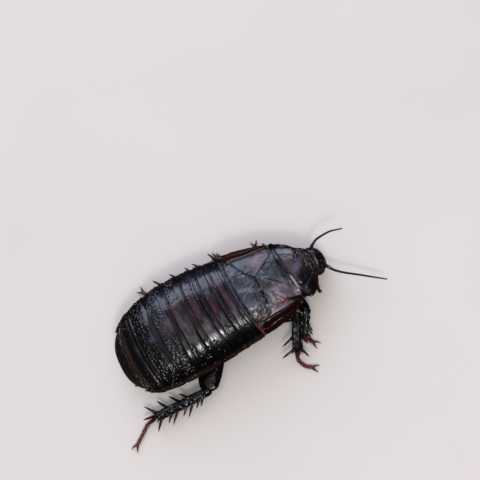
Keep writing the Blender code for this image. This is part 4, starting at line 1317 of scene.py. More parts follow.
    def mesonotum(self) -> None:
        """Makes the middle wedge between the stubs: crooked ridges, and a pinkish painted sheen on its right
        side.
        """
        across = np.sin((end_dense(170, 0.4) - 0.5) * np.pi)[None]
        along = end_dense(110)[:, None]
        front = self.mesonotum_front + self.front_tuck
        x = self.mesonotum_hind + (front - self.mesonotum_hind) * along
        x = x - np.where(across < 0, 0.35 * across**2 * (1.0 - along), 0.0)
        ragged = Grain(Seed.RAGGED_EDGE).layers(np.stack([across * 4.0, across * 0.0], -1), 0.8, 3)
        x = x + 0.22 * ragged * (1.0 - along) ** 2
        left = self.inner_edge(Side.LEFT, x) - self.stub_edge_gap
        right = self.inner_edge(Side.RIGHT, x) + self.stub_edge_gap
        y = (left + right) / 2.0 + (left - right) / 2.0 * across
        x = x * (1.0 - along) + self.front_line(x, y) * along
        tucked = ramp(self.front_line(2.0 * x, y) - x, front - 1.0, front - 0.4)
        lift = BACK.step * (1.0 - along) + self.stub_raise - 0.5 * tucked
        grid = BACK.point(x, BACK.share_at(x, y), lift)
        hind, _, edge_right, edge_left = edge_distances(grid)
        skin = Skin(grid[..., :2], Seed.MESONOTUM)
        turned = Skin(np.stack([x + 0.5 * y, y - 0.5 * x], -1), Seed.MESONOTUM)

        ridge_y = -0.35 - 2.5 * ramp(x, 10.8, 14.6)
        strokes = 0.16 * bell(y, ridge_y, 0.17) * ramp(x, 10.4, 11.2)
        strokes += 0.12 * bell(y, ridge_y - 0.75, 0.15) * ramp(x, 10.9, 11.6) * ramp(x, 14.2, 13.0)
        strokes += 0.1 * bell(y, 0.45 - 0.3 * (x - 11.0), 0.14) * bell(x, 11.1, 0.5)
        strokes += 0.14 * bell(y, -1.95 - 0.75 * (x - 13.6), 0.17) * ramp(x, 13.0, 13.5)
        strokes -= 0.12 * bell(y, ridge_y - 0.38, 0.18) * ramp(x, 10.6, 11.3)
        strokes = strokes * (1.0 + 0.7 * skin.hills(5, 0.7))
        hind_keel = bell(x, 10.22, 0.1) * bell(y, -0.9, 1.1)
        leather = ramp(y, -1.9, -2.9) * ramp(x, 10.1, 10.7)
        wrinkles = 0.08 * turned.clouds(0, 0.75, 3, (1.3, 0.6)) * (1.0 - 0.45 * leather)
        wrinkles += 0.06 * leather * turned.clouds(1, 0.6, 3, (1.4, 0.6))
        wrinkles += 0.04 * skin.clouds(6, 0.45, 2, (0.7, 1.4))
        relief = strokes + wrinkles + 0.12 * hind_keel + 0.08 * bell(y, -0.3, 0.3) * bell(x, 10.2, 0.5)

        clouds = skin.clouds(3, 0.8, 4)
        tint = painted(COLOURS.tint(grid, 0.0, skin.seed), (
            (SLATE * np.array([0.85, 0.95, 0.85]), 0.7 + 0.4 * clouds),
            # Lighter slate on the wrinkle crests is painted highlight.
            (SLATE * 1.7, 0.6 * ramp(wrinkles, 0.03, 0.08) * (1.0 - leather)),
            # Pink over the leathery right side is painted sheen.
            (PINK_SHEEN * 0.95, (0.65 + 0.4 * clouds) * leather),
            # Pale on the crests of the leathery side is painted highlight.
            (PALE_HIGHLIGHT * 1.3, 0.75 * leather * ramp(wrinkles, 0.02, 0.07)),
            # Darker towards the front, under the pronotum's hind edge: painted shade.
            (BLACK * 2.0, 0.6 * leather * ramp(x, 13.4, 14.2) * (0.5 + clouds)),
            (PALE_BROWN * 0.5, 0.7 * hind_keel),
            (BROWN * 0.6, 0.6 * bell(x, 10.5, 0.4) * bell(y, -1.0, 1.2)),
            # Lighter slate on the raised strokes is painted highlight.
            (SLATE * 1.8, 0.6 * np.clip(strokes / 0.12, 0.0, 1.0)),
            (DARK_RED * 1.2, 0.7 * bell(edge_right, 0.25, 0.3) * bell(x, 12.3, 1.0) * (y < -2)),
            # Black at the hind edge and along the seams with the stubs is painted shade.
            (BLACK * 0.5, 0.7 * ramp(hind, 0.14, 0.0)),
            (BLACK * 0.6, 0.9 * ramp(edge_left, 0.3, 0.1) * ramp(x, 10.6, 11.4)),
            (BLACK * 0.6, 0.95 * ramp(edge_right, 0.3, 0.12) * ramp(x, 12.4, 13.0)),
        ))
        form = plate(grid, self.thickness, relief, tint, 0.22 + 0.07 * clouds + 0.05 * leather, 0.07)
        self.shop.show("mesonotum_shell", form, "black_cuticle", "mesonotum")

    def wing_stub(self, side: Side) -> None:
        """Makes what is left of a fore wing: veined, with a folded outer strip and a torn edge.

        Args:
            side: Which of the two stubs.
        """
        sign = side.value
        share = end_dense(140, 0.4)[None]
        along = end_dense(120)[:, None]
        torn = Grain(Seed.TORN_EDGE + sign).layers(np.stack([share * 9.0, share * 0.0], -1), 0.9, 3)
        rear = smooth_between(share, self.stub_shares[side], self.stub_rear_x[side]) - 0.12
        rear = rear + 0.25 * torn * ramp(share, 0.0, 0.12)
        front_inner = self.inner_edge(side, self.mesonotum_front)
        front_outer = sign * BACK.measure(self.mesonotum_front, BACK.half_width)
        front_y = front_inner + (front_outer - front_inner) * share
        front = self.front_line(self.mesonotum_front - 0.15, front_y) + 0.3 * share
        x = rear + (front + self.front_tuck - rear) * along
        tucked = ramp(x, front - 0.1, front + 0.55)
        inner = self.inner_edge(side, x) + sign * self.stub_edge_gap
        half = 0.995 * BACK.measure(x, BACK.half_width) - 0.6 * tucked
        y = inner + (BACK.measure(x, BACK.side_shift) + sign * half - inner) * share
        grid = BACK.point(x, BACK.share_at(x, y))
        grid[..., 2] += self.stub_lift * (1.0 - share) + self.stub_raise - 0.5 * tucked
        hind = edge_distances(grid)[0]
        skin = Skin(grid[..., :2], Seed.WING_STUBS + 50 * sign)
        turned = Skin(np.stack([x - 0.4 * y, y + 0.4 * x], -1), skin.seed)

        fold = self.strip_start[side]
        strip = ramp(share + 0.03 * np.sin(x * 2.0), fold - 0.02, fold + 0.03)
        veins = np.abs(np.sin((share - fold) / (1.0 - fold) * np.pi * 2.0 + 0.35 * np.sin(x * 0.8) + 0.5))
        vein_lines = bell(veins, 1.0, self.vein_width[side])
        fan = (y - self.inner_edge(side, 14.0)) / (x - 16.5)
        fan_veins = bell(np.abs(np.sin(fan * 34.0 + 0.9 * skin.hills(0, 1.5))), 1.0, 0.3)
        relief = strip * (0.05 * vein_lines - 0.03) + (1.0 - strip) * 0.012 * fan_veins
        relief -= 0.2 * bell(share, fold, 0.03) * ramp(along, 0.0, 0.08)
        relief -= 0.12 * bell(share, 0.5 * fold, 0.3) * (1.0 - 0.5 * along)
        relief += 0.08 * turned.clouds(1, 1.0, 4, (1.2, 0.8)) * (1.0 - 0.5 * strip)
        relief += 0.03 * bell(hind, 0.15, 0.12)

        clouds = skin.clouds(3, 0.9, 4)
        inside = 1.0 - strip
        if side is Side.RIGHT:
            coats = [
                # Pink over the inside and a pale band across it are painted sheen.
                (PINK_SHEEN * 0.9, (0.75 + 0.4 * clouds) * inside),
                (PALE_HIGHLIGHT, 0.8 * bell(share, 0.35, 0.08) * ramp(x, 12.8, 11.4) * (0.7 + 0.8 * clouds)),
                (DARK_RED * 1.5, 0.8 * bell(share, 0.06, 0.1) * bell(x, 12.2, 1.0)),
                # Black towards the front, under the pronotum's hind edge, is painted shade.
                (BLACK, 0.9 * ramp(x, 13.0, 13.6) * inside),
                (DARK_RED * 0.12, 0.95 * strip),
                (BROWN * 0.3, 0.35 * strip * vein_lines),
            ]
        else:
            coats = [
                (mix(PURPLE * 0.9, SLATE * 1.0, ramp(x, 10.4, 8.6)), (0.7 + 0.5 * clouds) * inside),
                # Lighter slate towards the front is painted highlight.
                (SLATE * 1.7, 0.6 * ramp(x, 12.2, 13.2) * inside),
                (BLACK * 2.0, 0.6 * bell(share, 0.3, 0.14) * bell(x, 9.6, 0.6)),
                # The pink spot is painted sheen.
                (PINK_SHEEN * 0.9, 0.5 * bell(share, 0.36, 0.15) * bell(x, 11.2, 0.8)),
                (mix(BROWN * 0.3, DARK_RED * 0.4, 0.5 + 0.5 * clouds), 0.95 * strip),
                (BROWN * 0.55, 0.4 * strip * vein_lines),
                (BLACK * 0.6, 0.85 * strip * ramp(veins, 0.5, 0.2)),
                (DEEP_PURPLE, bell(share, 0.56, 0.075) * bell(x, 11.2, 1.5)),
            ]
        # Painted shade along the fold, the torn hind edge and the seam with the mesonotum.
        seam_shade = ramp(np.abs(y - inner), 0.42, 0.22) * ramp(x, *self.near_line_x[side])
        coats += [
            (BLACK * 0.5, 0.85 * bell(share, fold, 0.025) + 0.9 * ramp(hind, 0.3, 0.12)),
            (BLACK * 0.6, 0.9 * seam_shade),
            (DARK_RED * 0.35, 0.4 * ramp(share, 0.88, 0.98)),
        ]
        tint = painted(COLOURS.tint(grid, 0.0, skin.seed), coats)
        form = plate(grid, self.stub_thickness, relief, tint, 0.26 + 0.08 * clouds - 0.08 * strip, 0.07)
        self.shop.show(f"wing_stub_{side.word}_leather", form, "maroon_cuticle", f"wing_stub_{side.word}")

    def pronotum_grid(self, across: Array, along: Array) -> Array:
        """Points of the pronotum's surface: an arch with a trough inside its rim and a dent in front.

        Args:
            across: Shares of the half width, from -1 at the right rim to 1 at the left.
            along: Shares of the length, from 0 at the hind margin to 1 in front.

        Returns:
            The points, in body millimetres.
        """
        half = smooth_between(along, self.pronotum_shares, self.pronotum_half)
        half = half + np.where(across < 0, 0.15 * bell(along, 0.62, 0.2) - 0.45 * bell(along, 0.3, 0.3), 0.0)
        side = smooth_between(along, self.pronotum_shares, self.pronotum_centre) + half * across
        hind_x = 0.15 + 0.3 * np.abs(across) ** 4
        front_x = self.pronotum_length - 0.9 * np.abs(across) ** 3
        local_x = hind_x * (1.0 - along) + front_x * along
        top = self.pronotum_top[0] + (self.pronotum_top[1] - self.pronotum_top[0]) * along**1.6
        rim = self.pronotum_rim[0] + (self.pronotum_rim[1] - self.pronotum_rim[0]) * along
        trough = self.trough_depth * bell(np.abs(across), 0.86, 0.07) * np.minimum(1.0, 4.0 * along)
        dent = self.dent_depth * bell(along, 0.7, 0.16) * bell(across, 0.0, 0.5)
        height = rim + (top - rim) * BACK.arch(across) - trough - dent
        cosine, sine = math.cos(self.pronotum_yaw), math.sin(self.pronotum_yaw)
        x = self.pronotum_place[0] + cosine * local_x - sine * side
        y = self.pronotum_place[1] + sine * local_x + cosine * side
        return np.stack(np.broadcast_arrays(x, y, height), -1)

    def pronotum(self) -> None:
        """Makes the shield behind the head: smooth behind, grainy in front, with a raised rim."""
        along = end_dense(140, 0.4)[:, None]
        shares = BACK.even_shares(270)[None]
        grid = self.pronotum_grid(shares, along)
        share = np.broadcast_to(shares, grid.shape[:2])
        hind, front, right, left = edge_distances(grid)
        edge = np.minimum(right, left)
        skin = Skin(grid[..., :2], Seed.PRONOTUM)

        grainy = ramp(along + 0.1 * share, 0.5, 0.68) * ramp(edge, 0.4, 0.9)
        grains = skin.domes(0, 0.5, 0.14, 0.14, 0.1, 0.4)
        pits = skin.pits(1, 0.66, 0.13, 0.5, 0.75) * (0.2 + 0.8 * grainy) * ramp(hind, 0.3, 0.7)
        border = np.clip(bell(edge, 0.28, 0.14) + bell(front, 0.2, 0.12), 0.0, 1.0)
        lobe_line = share + 0.66 - 0.3 * (along - 0.35)
        carina = bell(share, 0.72 - 0.1 * along, 0.022) * ramp(along, 0.3, 0.42) * ramp(along, 0.62, 0.55)
        streak = bell(hind, 0.5, 0.2) * ramp(share, -0.28, -0.4) * ramp(share, -0.82, -0.7)
        relief = 0.12 * border + 0.15 * grainy * grains - 0.08 * pits + 0.14 * carina + 0.1 * streak
        relief += 0.14 * skin.clouds(2, 1.1, 3, (1.0, 0.8)) * ramp(along, 0.3, 0.6)
        relief += 0.06 * skin.clouds(3, 1.3, 4)
        relief -= 0.3 * bell(lobe_line, 0.0, 0.045) * ramp(along, 0.02, 0.15) * ramp(along, 0.78, 0.6)
        relief -= 0.2 * bell(share, 0.56, 0.13) * ramp(along, 0.0, 0.2) * ramp(along, 0.6, 0.45)
        relief -= 0.22 * bell(share, -0.42, 0.16) * bell(along, 0.4, 0.14)
        relief += 0.12 * ramp(hind, 0.9, 0.2) - 0.05 * bell(hind, 0.95, 0.18)

        mottle = skin.clouds(8, 0.9, 4)
        speckle = skin.clouds(4, 0.4)
        left_area = bell(share, 0.56, 0.12) * ramp(along, 0.0, 0.15) * ramp(along, 0.58, 0.5)
        left_slate = SLATE * (1.3 + 1.3 * ramp(along, 0.2, 0.4))[..., None]
        lobe_area = ramp(-lobe_line, 0.02, 0.1) * ramp(along, 0.05, 0.15) * ramp(along, 0.75, 0.6)
        sheen = ramp(mottle, 0.1, 0.4) * bell(along, 0.35, 0.3) * ramp(share, -0.3, -0.1)
        tint = painted(COLOURS.tint(grid, pits, skin.seed), (
            (PURPLE * 0.8, (0.8 + 0.5 * mottle) * bell(along, 0.28, 0.26) * bell(share, 0.08, 0.42)),
            (SLATE * 1.4, 0.8 * sheen),
            # Bright slate on the left is partly tone and partly painted sheen.
            (left_slate, 0.95 * left_area),
            (BLACK * 0.6, 0.95 * bell(share, 0.8, 0.05) * ramp(along, 0.85, 0.6)),
            (PALE_BROWN * 0.7, 0.8 * np.clip(carina * 1.4, 0.0, 1.0)),
            (DARK_RED * 0.35, 0.8 * ramp(edge, 0.75, 0.4) * ramp(along, 0.75, 0.5) * (share > 0)),
            (RUST, 0.7 * grainy * ramp(speckle, 0.0, 0.4) * ramp(share, 0.6, 0.2)),
            (BROWN * 0.8, 0.4 * grainy * ramp(-speckle, 0.15, 0.5)),
            # Pale patch on the left is painted highlight.
            (PALE_HIGHLIGHT * 1.1, 0.8 * bell(along, 0.42, 0.06) * bell(share, 0.58, 0.08)),
            # Pale arc along the front margin is painted highlight.
            (PALE_HIGHLIGHT * 1.4, 0.9 * bell(front, 0.1, 0.2) * bell(share, -0.4, 0.25)),
            (BROWN * 0.9, 0.5 * bell(edge, 0.3, 0.08) + 0.5 * bell(front, 0.2, 0.1)),
            # Pale along the raised streak is painted highlight.
            (PALE_HIGHLIGHT * 1.2, 0.9 * np.clip(streak * 1.25, 0.0, 1.0)),
            (BLACK * 0.7, 0.9 * bell(share, -0.42, 0.17) * bell(along, 0.42, 0.15)),
            (BLACK, 0.9 * lobe_area),
            # Pink on the black lobe is painted reflection.
            (PINK_SHEEN * 0.5, 0.6 * lobe_area * bell(along, 0.22, 0.09) * bell(share, -0.82, 0.08)),
            # Black along the hind margin is painted shade.
            (BLACK * 0.4, 0.95 * ramp(hind, 0.36, 0.17)),
        ))
        polish = 0.2 - 0.02 * grainy + 0.05 * skin.clouds(5, 0.8) - 0.05 * lobe_area
        form = plate(grid, self.thickness, relief, tint, polish, 0.09)
        self.shop.show("pronotum_shell", form, "black_cuticle", "pronotum")


@dataclass
class Underside:
    """The belly with its sternites and the breast with its plates and the neck.

    Attributes:
        shop: Where pieces are made.
        inset: How far the dome of the belly lies below the back.
        side_inset: How much narrower than the back that dome is on each side.
        edge_drop: How far the belly's side edge lies below the rim.
        tail_inset: How much deeper the dome lies at the tail.
        belly_edge: How far the side edge reaches down.
        belly_power: How flat the belly is.
        sides: Points round a section.
        tail_x: Where the rings that close the belly start.
        tail_reach: How far they reach behind.
        tail_round: Length over which their width closes, like a quarter of an ellipse.
        tail_half: Half width of the first of them.
        neck_half: Lengths along the neck and its half width there.
        neck_low: Lengths and the height of its underside.
        neck_high: Lengths and the height of its upper side.
        neck_centre: Side position of its middle.
        band_x: Lengths of the grooves between the plates of the breast.
    """

    shop: Workshop
    inset: float = 0.97
    side_inset: float = 1.3
    edge_drop: float = 0.15
    tail_inset: float = 0.9
    belly_edge: float = 0.45
    belly_power: float = 2.6
    sides: int = 150
    tail_x: float = -15.3
    tail_reach: float = 1.3
    tail_round: float = 1.42
    tail_half: float = 2.75
    neck_half: tuple = ((13.3, 15.0, 16.4, 17.4, 18.1), (4.6, 4.0, 2.7, 1.7, 1.2))
    neck_low: tuple = ((13.3, 15.6, 17.4, 18.1), (3.15, 2.7, 1.9, 1.9))
    neck_high: tuple = ((13.3, 15.0, 16.4, 17.4, 18.1), (6.0, 6.2, 5.0, 3.9, 3.4))
    neck_centre: float = -0.6
    band_x: tuple = (9.3, 13.0)

    def build(self) -> None:
        """Makes the belly and the breast."""
        self.belly()
        self.breast()

    def section(self, x: Array, side_gap: Array, inset: Array, side_inset: Array, edge_drop: float) -> Array:
        """Sections of the body under its plates: a dome above a wide shallow belly.

        Args:
            x: Lengths along the body, one to a section.
            side_gap: How much narrower than the back the belly is on each side.
            inset: How far the dome lies below the back.
            side_inset: How much narrower than the back the dome is.
            edge_drop: How far the side edge lies below the rim.

        Returns:
            Points by section and by place round it.
        """
        share = np.sin(np.linspace(-0.5, 0.5, self.sides // 2) * np.pi)
        x = x[:, None]
        side_gap, inset, side_inset = (
            np.broadcast_to(value, len(x))[:, None] for value in (side_gap, inset, side_inset)
        )
        half = BACK.measure(x, BACK.half_width) - side_gap
        edge = BACK.measure(x, BACK.rim_height) - BACK.gap - edge_drop
        low = edge - self.belly_edge
        fall = (low - BACK.measure(x, BACK.belly_height)) * (1.0 - np.abs(share) ** self.belly_power)
        side = BACK.measure(x, BACK.side_shift) + half * share
        lower = np.stack(np.broadcast_arrays(x, side, low - fall), -1)
        upper = BACK.point(np.broadcast_to(x, side.shape), -share[None], -inset, side_inset)
        upper[..., 2] = np.maximum(upper[..., 2], edge)
        return np.concatenate([lower, upper], 1)

    def carried(self, last: Array, x: Array, centre: float, half: Array, low: Array, high: Array) -> Array:
        """Carries a section on along the body, with its width and height changing.

        Args:
            last: The section to carry on.
            x: Lengths along the body.
            centre: Side position of the middle.
            half: Half width at each length.
            low: Height of the underside at each length.
            high: Height of the upper side at each length.

        Returns:
            Points by section and by place round it.
        """
        middle = (last.max(0) + last.min(0)) / 2.0
        shape = (last - middle) / ((last.max(0) - last.min(0)) / 2.0 + [1.0, 0.0, 0.0])
        y = centre + shape[:, 1] * half[:, None]
        z = (low + high)[:, None] / 2.0 + shape[:, 2] * (high - low)[:, None] / 2.0
        return np.stack(np.broadcast_arrays(x[:, None], y, z), -1)

    def outward(self, rings: Array, number: int) -> Array:
        """Directions out of the body, judged by the middle of the underside of one section."""
        normal = grid_normals(rings)
        return -normal if normal[number, : self.sides // 2, 2].mean() > 0 else normal

    def belly(self) -> None:
        """Makes the abdomen's underside, each sternite lapping over the next."""
        x = np.linspace(6.2, -15.1, 300)
        bounds = np.array((BACK.hind_x[0] - 0.75,) + BACK.hind_x[1:])
        tail = ramp(x, -9.0, -15.0)
        number = np.clip(np.searchsorted(-bounds, -x) - 1, 0, len(bounds) - 2)
        share = np.clip((bounds[number] - x) / (bounds[number] - bounds[number + 1]), 0.0, 1.0)
        inset, side_inset = self.inset + self.tail_inset * tail, self.side_inset + 0.45 * tail
        rings = self.section(x, 0.5 + 0.1 * (1.0 - share), inset, side_inset, self.edge_drop)
        tail_x = self.tail_x - self.tail_reach * np.sin(np.linspace(0.0, 0.5, 24) * np.pi)
        half = self.tail_half * np.sqrt(1.0 - ((tail_x - self.tail_x) / self.tail_round) ** 2) + 0.15
        low = smooth_between(-tail_x, (15.3, 16.3, 16.6), (2.85, 2.95, 3.05))
        high = smooth_between(-tail_x, (15.3, 16.3, 16.6), (3.4, 3.25, 3.15))
        closing = self.carried(rings[-1], tail_x, Abdomen.tail_centre, half, low, high)
        rings = np.concatenate([rings, closing])
        share = np.concatenate([share, np.ones(len(closing))])[:, None]

        skin = Skin(rings[..., :2], Seed.BELLY)
        pits = skin.pits(1, 0.5, 0.12, 0.4, 0.7) * ramp(np.abs(rings[..., 1]), 3.0, 6.5)
        relief = 0.13 * share**2 - 0.1 * bell(share, 0.02, 0.05) - 0.05 * pits
        relief = relief + 0.03 * skin.clouds(0, 1.2) + 0.012 * skin.clouds(2, 0.3, 2)
        rings = rings + self.outward(rings, 100) * relief[..., None]
        clouds = skin.clouds(3, 1.5, 4)
        tint = painted(BELLY * 1.3, (
            (BLACK, 0.45 + 0.4 * clouds),
            (BROWN * 0.9, 0.6 * ramp(share, 0.86, 1.0)),
            # Black in the pits is painted shade.
            (BLACK * 0.6, 0.8 * pits),
        ))
        form = closed_rings(rings, tint, 0.32 + 0.08 * clouds)
        self.shop.show("belly_plates", form, "under_cuticle", "abdomen_underside")

    def breast(self) -> None:
        """Makes the thorax's underside with the neck."""
        x = np.linspace(4.9, 13.3, 150)
        sink = sum(bell(x, place, 0.3) for place in self.band_x)
        rings = self.section(x, 0.75 + 0.3 * sink, 2.0, 2.2, 0.5)
        neck_x = np.linspace(13.5, 18.1, 80)
        sizes = (smooth_between(neck_x, *pair) for pair in (self.neck_half, self.neck_low, self.neck_high))
        rings = np.concatenate([rings, self.carried(rings[-1], neck_x, self.neck_centre, *sizes)])

        skin = Skin(rings[..., :2], Seed.BREAST)
        bands = sum(bell(rings[..., 0], place, 0.25) for place in self.band_x)
        keel = 0.2 * bell(rings[..., 1], -0.4, 0.35) - 0.12 * bell(np.abs(rings[..., 1] + 0.4), 0.9, 0.3)
        relief = keel - 0.15 * bands + 0.06 * skin.clouds(0, 1.4, 4)
        rings = rings + self.outward(rings, 60) * relief[..., None]
        clouds = skin.clouds(1, 1.2, 4)
        tint = painted(BELLY * 1.5, ((BLACK, 0.5 + 0.4 * clouds), (BROWN, 0.5 * np.clip(bands, 0.0, 1.0))))
        form = closed_rings(rings, tint, 0.34 + 0.08 * clouds)
        self.shop.show("breast_plates", form, "under_cuticle", "thorax_underside")


@dataclass(frozen=True)
class Lens:
    """A lens-shaped piece on the head: an eye, or a plate of the mouth.

    Attributes:
        yaw: Angle of its middle to the side, in degrees.
        pitch: Angle of its middle upwards, in degrees.
        span: Half its width and height, in radians over the head.
        bulge: How far its middle stands out in millimetres.
        thickness: Thickness at its edge.
        slot: Its finish.
    """

    yaw: float
    pitch: float
    span: tuple
    bulge: float
    thickness: float
    slot: str = "leg_cuticle"


EYE = Lens(82.0, 8.0, (0.36, 0.52), 0.16, 0.26, "eye")
LABRUM = Lens(0.0, -50.0, (0.55, 0.3), 0.1, 0.4)
MANDIBLE = Lens(55.0, -48.0, (0.24, 0.3), 0.15, 0.35)


@dataclass
class Head:
    """The head with its eyes, mouth plates, feelers and palps.

    Attributes:
        shop: Where pieces are made.
        middle: Middle of the head.
        radii: Half its length, width and height.
        power: How boxy it is, where 2 is an ellipsoid.
        yaw: How far it is turned to the left.
        narrowing: How much narrower it is at its lowest point, as a share.
        gap: Distance from the head to the edges of eyes and mouth plates.
        feeler_yaw: Angle of the feelers' sockets to the side.
        feeler_pitch: Their angle upwards.
        feeler_root: Length of a feeler's thick root.
        feeler_paths: Places along each feeler.
        palp_paths: Places along each palp.
        palp_radius: Half width of a palp.
    """

    shop: Workshop
    middle: tuple = (19.2, -0.45, 2.5)
    radii: tuple = (2.1, 2.25, 2.0)
    power: float = 2.3
    yaw: float = math.radians(3.0)
    narrowing: float = 0.16
    gap: float = -0.08
    feeler_yaw: float = math.radians(48.0)
    feeler_pitch: float = math.radians(8.0)
    feeler_root: float = 1.15
    feeler_paths: dict = field(default_factory=lambda: {
        Side.LEFT: ((20.5, 1.95, 3.1), (21.9, 2.35, 3.8), (23.8, 2.2, 4.4), (26.2, 1.3, 5.0)),
        Side.RIGHT: ((21.6, -3.7, 3.5), (25.3, -6.8, 2.8), (28.4, -9.2, 2.1)),
    })
    palp_paths: dict = field(default_factory=lambda: {
        Side.LEFT: ((19.3, 0.7, 1.1), (19.6, 1.6, 0.9), (19.9, 2.1, 1.0), (20.1, 2.2, 1.4), (20.3, 1.9, 1.8)),
        Side.RIGHT: (
            (19.0, -1.6, 1.3), (18.5, -2.7, 0.95), (17.95, -3.9, 1.05), (17.8, -4.8, 1.5), (17.95, -5.5, 2.1),
        ),
    })
    palp_radius: float = 0.32

    def build(self) -> None:
        """Makes all pieces of the head."""
        self.capsule()
        self.lens("labrum_plate", LABRUM, 1, "labrum")
        for side in Side:
            self.lens(f"eye_{side.word}_lens", EYE, side.value, f"eye_{side.word}")
            self.lens(f"mandible_{side.word}_jaw", MANDIBLE, side.value, f"mandible_{side.word}")
            self.feeler(side)
            self.palp(side)

    def surface(self, yaw: Array, pitch: Array, out: Array = 0.0) -> Array:
        """Points over the head at two angles from its forward axis.

        Args:
            yaw: Angles to the left.
            pitch: Angles upwards.
            out: Distance over the surface.

        Returns:
            The points, in body millimetres.
        """
        yaw, pitch, out = np.broadcast_arrays(yaw, pitch, out)
        heading = np.stack([np.cos(pitch) * np.cos(yaw), np.cos(pitch) * np.sin(yaw), np.sin(pitch)], -1)
        radii = np.array(self.radii)
        size = (np.abs(heading) ** self.power).sum(-1, keepdims=True) ** (1.0 / self.power)
        place = heading / size * radii
        low = np.clip(place[..., 2], None, 0.0) / radii[2]
        place[..., 1] *= 1.0 - self.narrowing * low**2
        place = place + unit(heading / radii) * out[..., None]
        cosine, sine = math.cos(self.yaw), math.sin(self.yaw)
        turn = np.array([[cosine, sine, 0.0], [-sine, cosine, 0.0], [0.0, 0.0, 1.0]])
        return place @ turn + np.array(self.middle)

    def capsule(self) -> None:
        """Makes the head capsule with its crown line, brow, feeler sockets and mouth line."""
        yaw = np.linspace(-np.pi, np.pi, 240, endpoint=False)[None]
        pitch = np.linspace(-0.495, 0.495, 150)[:, None] * np.pi
        yaw, pitch = np.broadcast_arrays(yaw, pitch)
        aside = np.abs(yaw)
        skin = Skin(np.stack([yaw * 2.2 * np.cos(pitch), pitch * 2.1], -1), Seed.HEAD)
        fork = bell(aside - (0.62 - pitch) * 0.9, 0.0, 0.05) * ramp(pitch, -0.1, 0.1) * ramp(pitch, 0.62, 0.5)
        relief = -0.06 * bell(yaw, 0.0, 0.035) * ramp(pitch, 0.2, 0.5) - 0.05 * fork
        relief -= 0.08 * bell(pitch, -0.5, 0.04) * ramp(aside, 1.0, 0.7)
        for side in Side:
            gap = np.hypot(yaw - side.value * self.feeler_yaw, pitch - self.feeler_pitch)
            relief += 0.12 * bell(gap, 0.27, 0.06) - 0.1 * bell(gap, 0.0, 0.16)
        pits = skin.pits(0, 0.34, 0.08, 0.3, 0.6) * np.cos(pitch) ** 0.3
        relief += 0.09 * skin.clouds(1, 0.9) - 0.03 * pits
        rings = self.surface(yaw, pitch, relief)
        clouds = Grain(Seed.HEAD + 2).layers(rings, 0.9, 4)
        pale_spots = ramp(np.hypot(aside - 0.6, (pitch - 0.36) * 1.3), 0.13, 0.08)
        tint = painted(BLACK, (
            (DEEP_TEAL, 0.3 + 0.5 * clouds),
            (DARK_RED * 0.8, 0.7 * ramp(pitch, -0.25, -0.7)),
            (DARK_RED * 0.4, 0.7 * bell(aside, 0.3, 0.1) * bell(pitch, -0.1, 0.3)),
            (PALE_BROWN * 0.8, 0.85 * pale_spots),
            # Black in the pits is painted shade.
            (BLACK * 0.6, 0.5 * pits),
            # Pale specks on the upper head are painted glints.
            (PALE_HIGHLIGHT, 0.8 * skin.pits(0, 0.34, 0.07, 0.82, 0.9) * ramp(pitch, 0.1, 0.3)),
        ))
        form = closed_rings(rings, tint, 0.15 + 0.05 * clouds)
        self.shop.show("head_capsule", form, "black_cuticle", "head")

    def lens(self, name: str, lens: Lens, sign: int, node: str) -> None:
        """Makes a lens on the head.

        Args:
            name: Name of the piece.
            lens: Its place, size and finish.
            sign: 1 where its angle to the side is to the left, -1 where it is to the right.
            node: CAD node that it stands for.
        """
        tilt = np.linspace(-0.495, 0.495, 64)[:, None] * np.pi
        turn = np.linspace(0.0, 2.0 * np.pi, 96, endpoint=False)[None]
        rise = np.sin(tilt)
        out = self.gap - 0.22 * ramp(rise, -0.2, -0.9) + lens.bulge * np.clip(rise, 0.0, 1.0)
        out = out + 0.5 * lens.thickness * (1.0 + rise)
        yaw = sign * math.radians(lens.yaw) + lens.span[0] * np.cos(tilt) * np.cos(turn)
        pitch = math.radians(lens.pitch) + lens.span[1] * np.cos(tilt) * np.sin(turn)
        rings = self.surface(yaw, pitch, out)
        clouds = Grain(len(name)).layers(rings, 0.5, 3)
        if lens is EYE:
            tint = mix(BLACK * 1.2, BROWN * 0.5, 0.45 + 0.3 * clouds)
            polish = 0.12 + 0.03 * clouds
        else:
            tint = mix(BLACK * 1.5, DARK_RED, 0.35 + 0.3 * clouds)
            polish = 0.26 + 0.05 * clouds
        self.shop.show(name, closed_rings(rings, tint, polish), lens.slot, node)

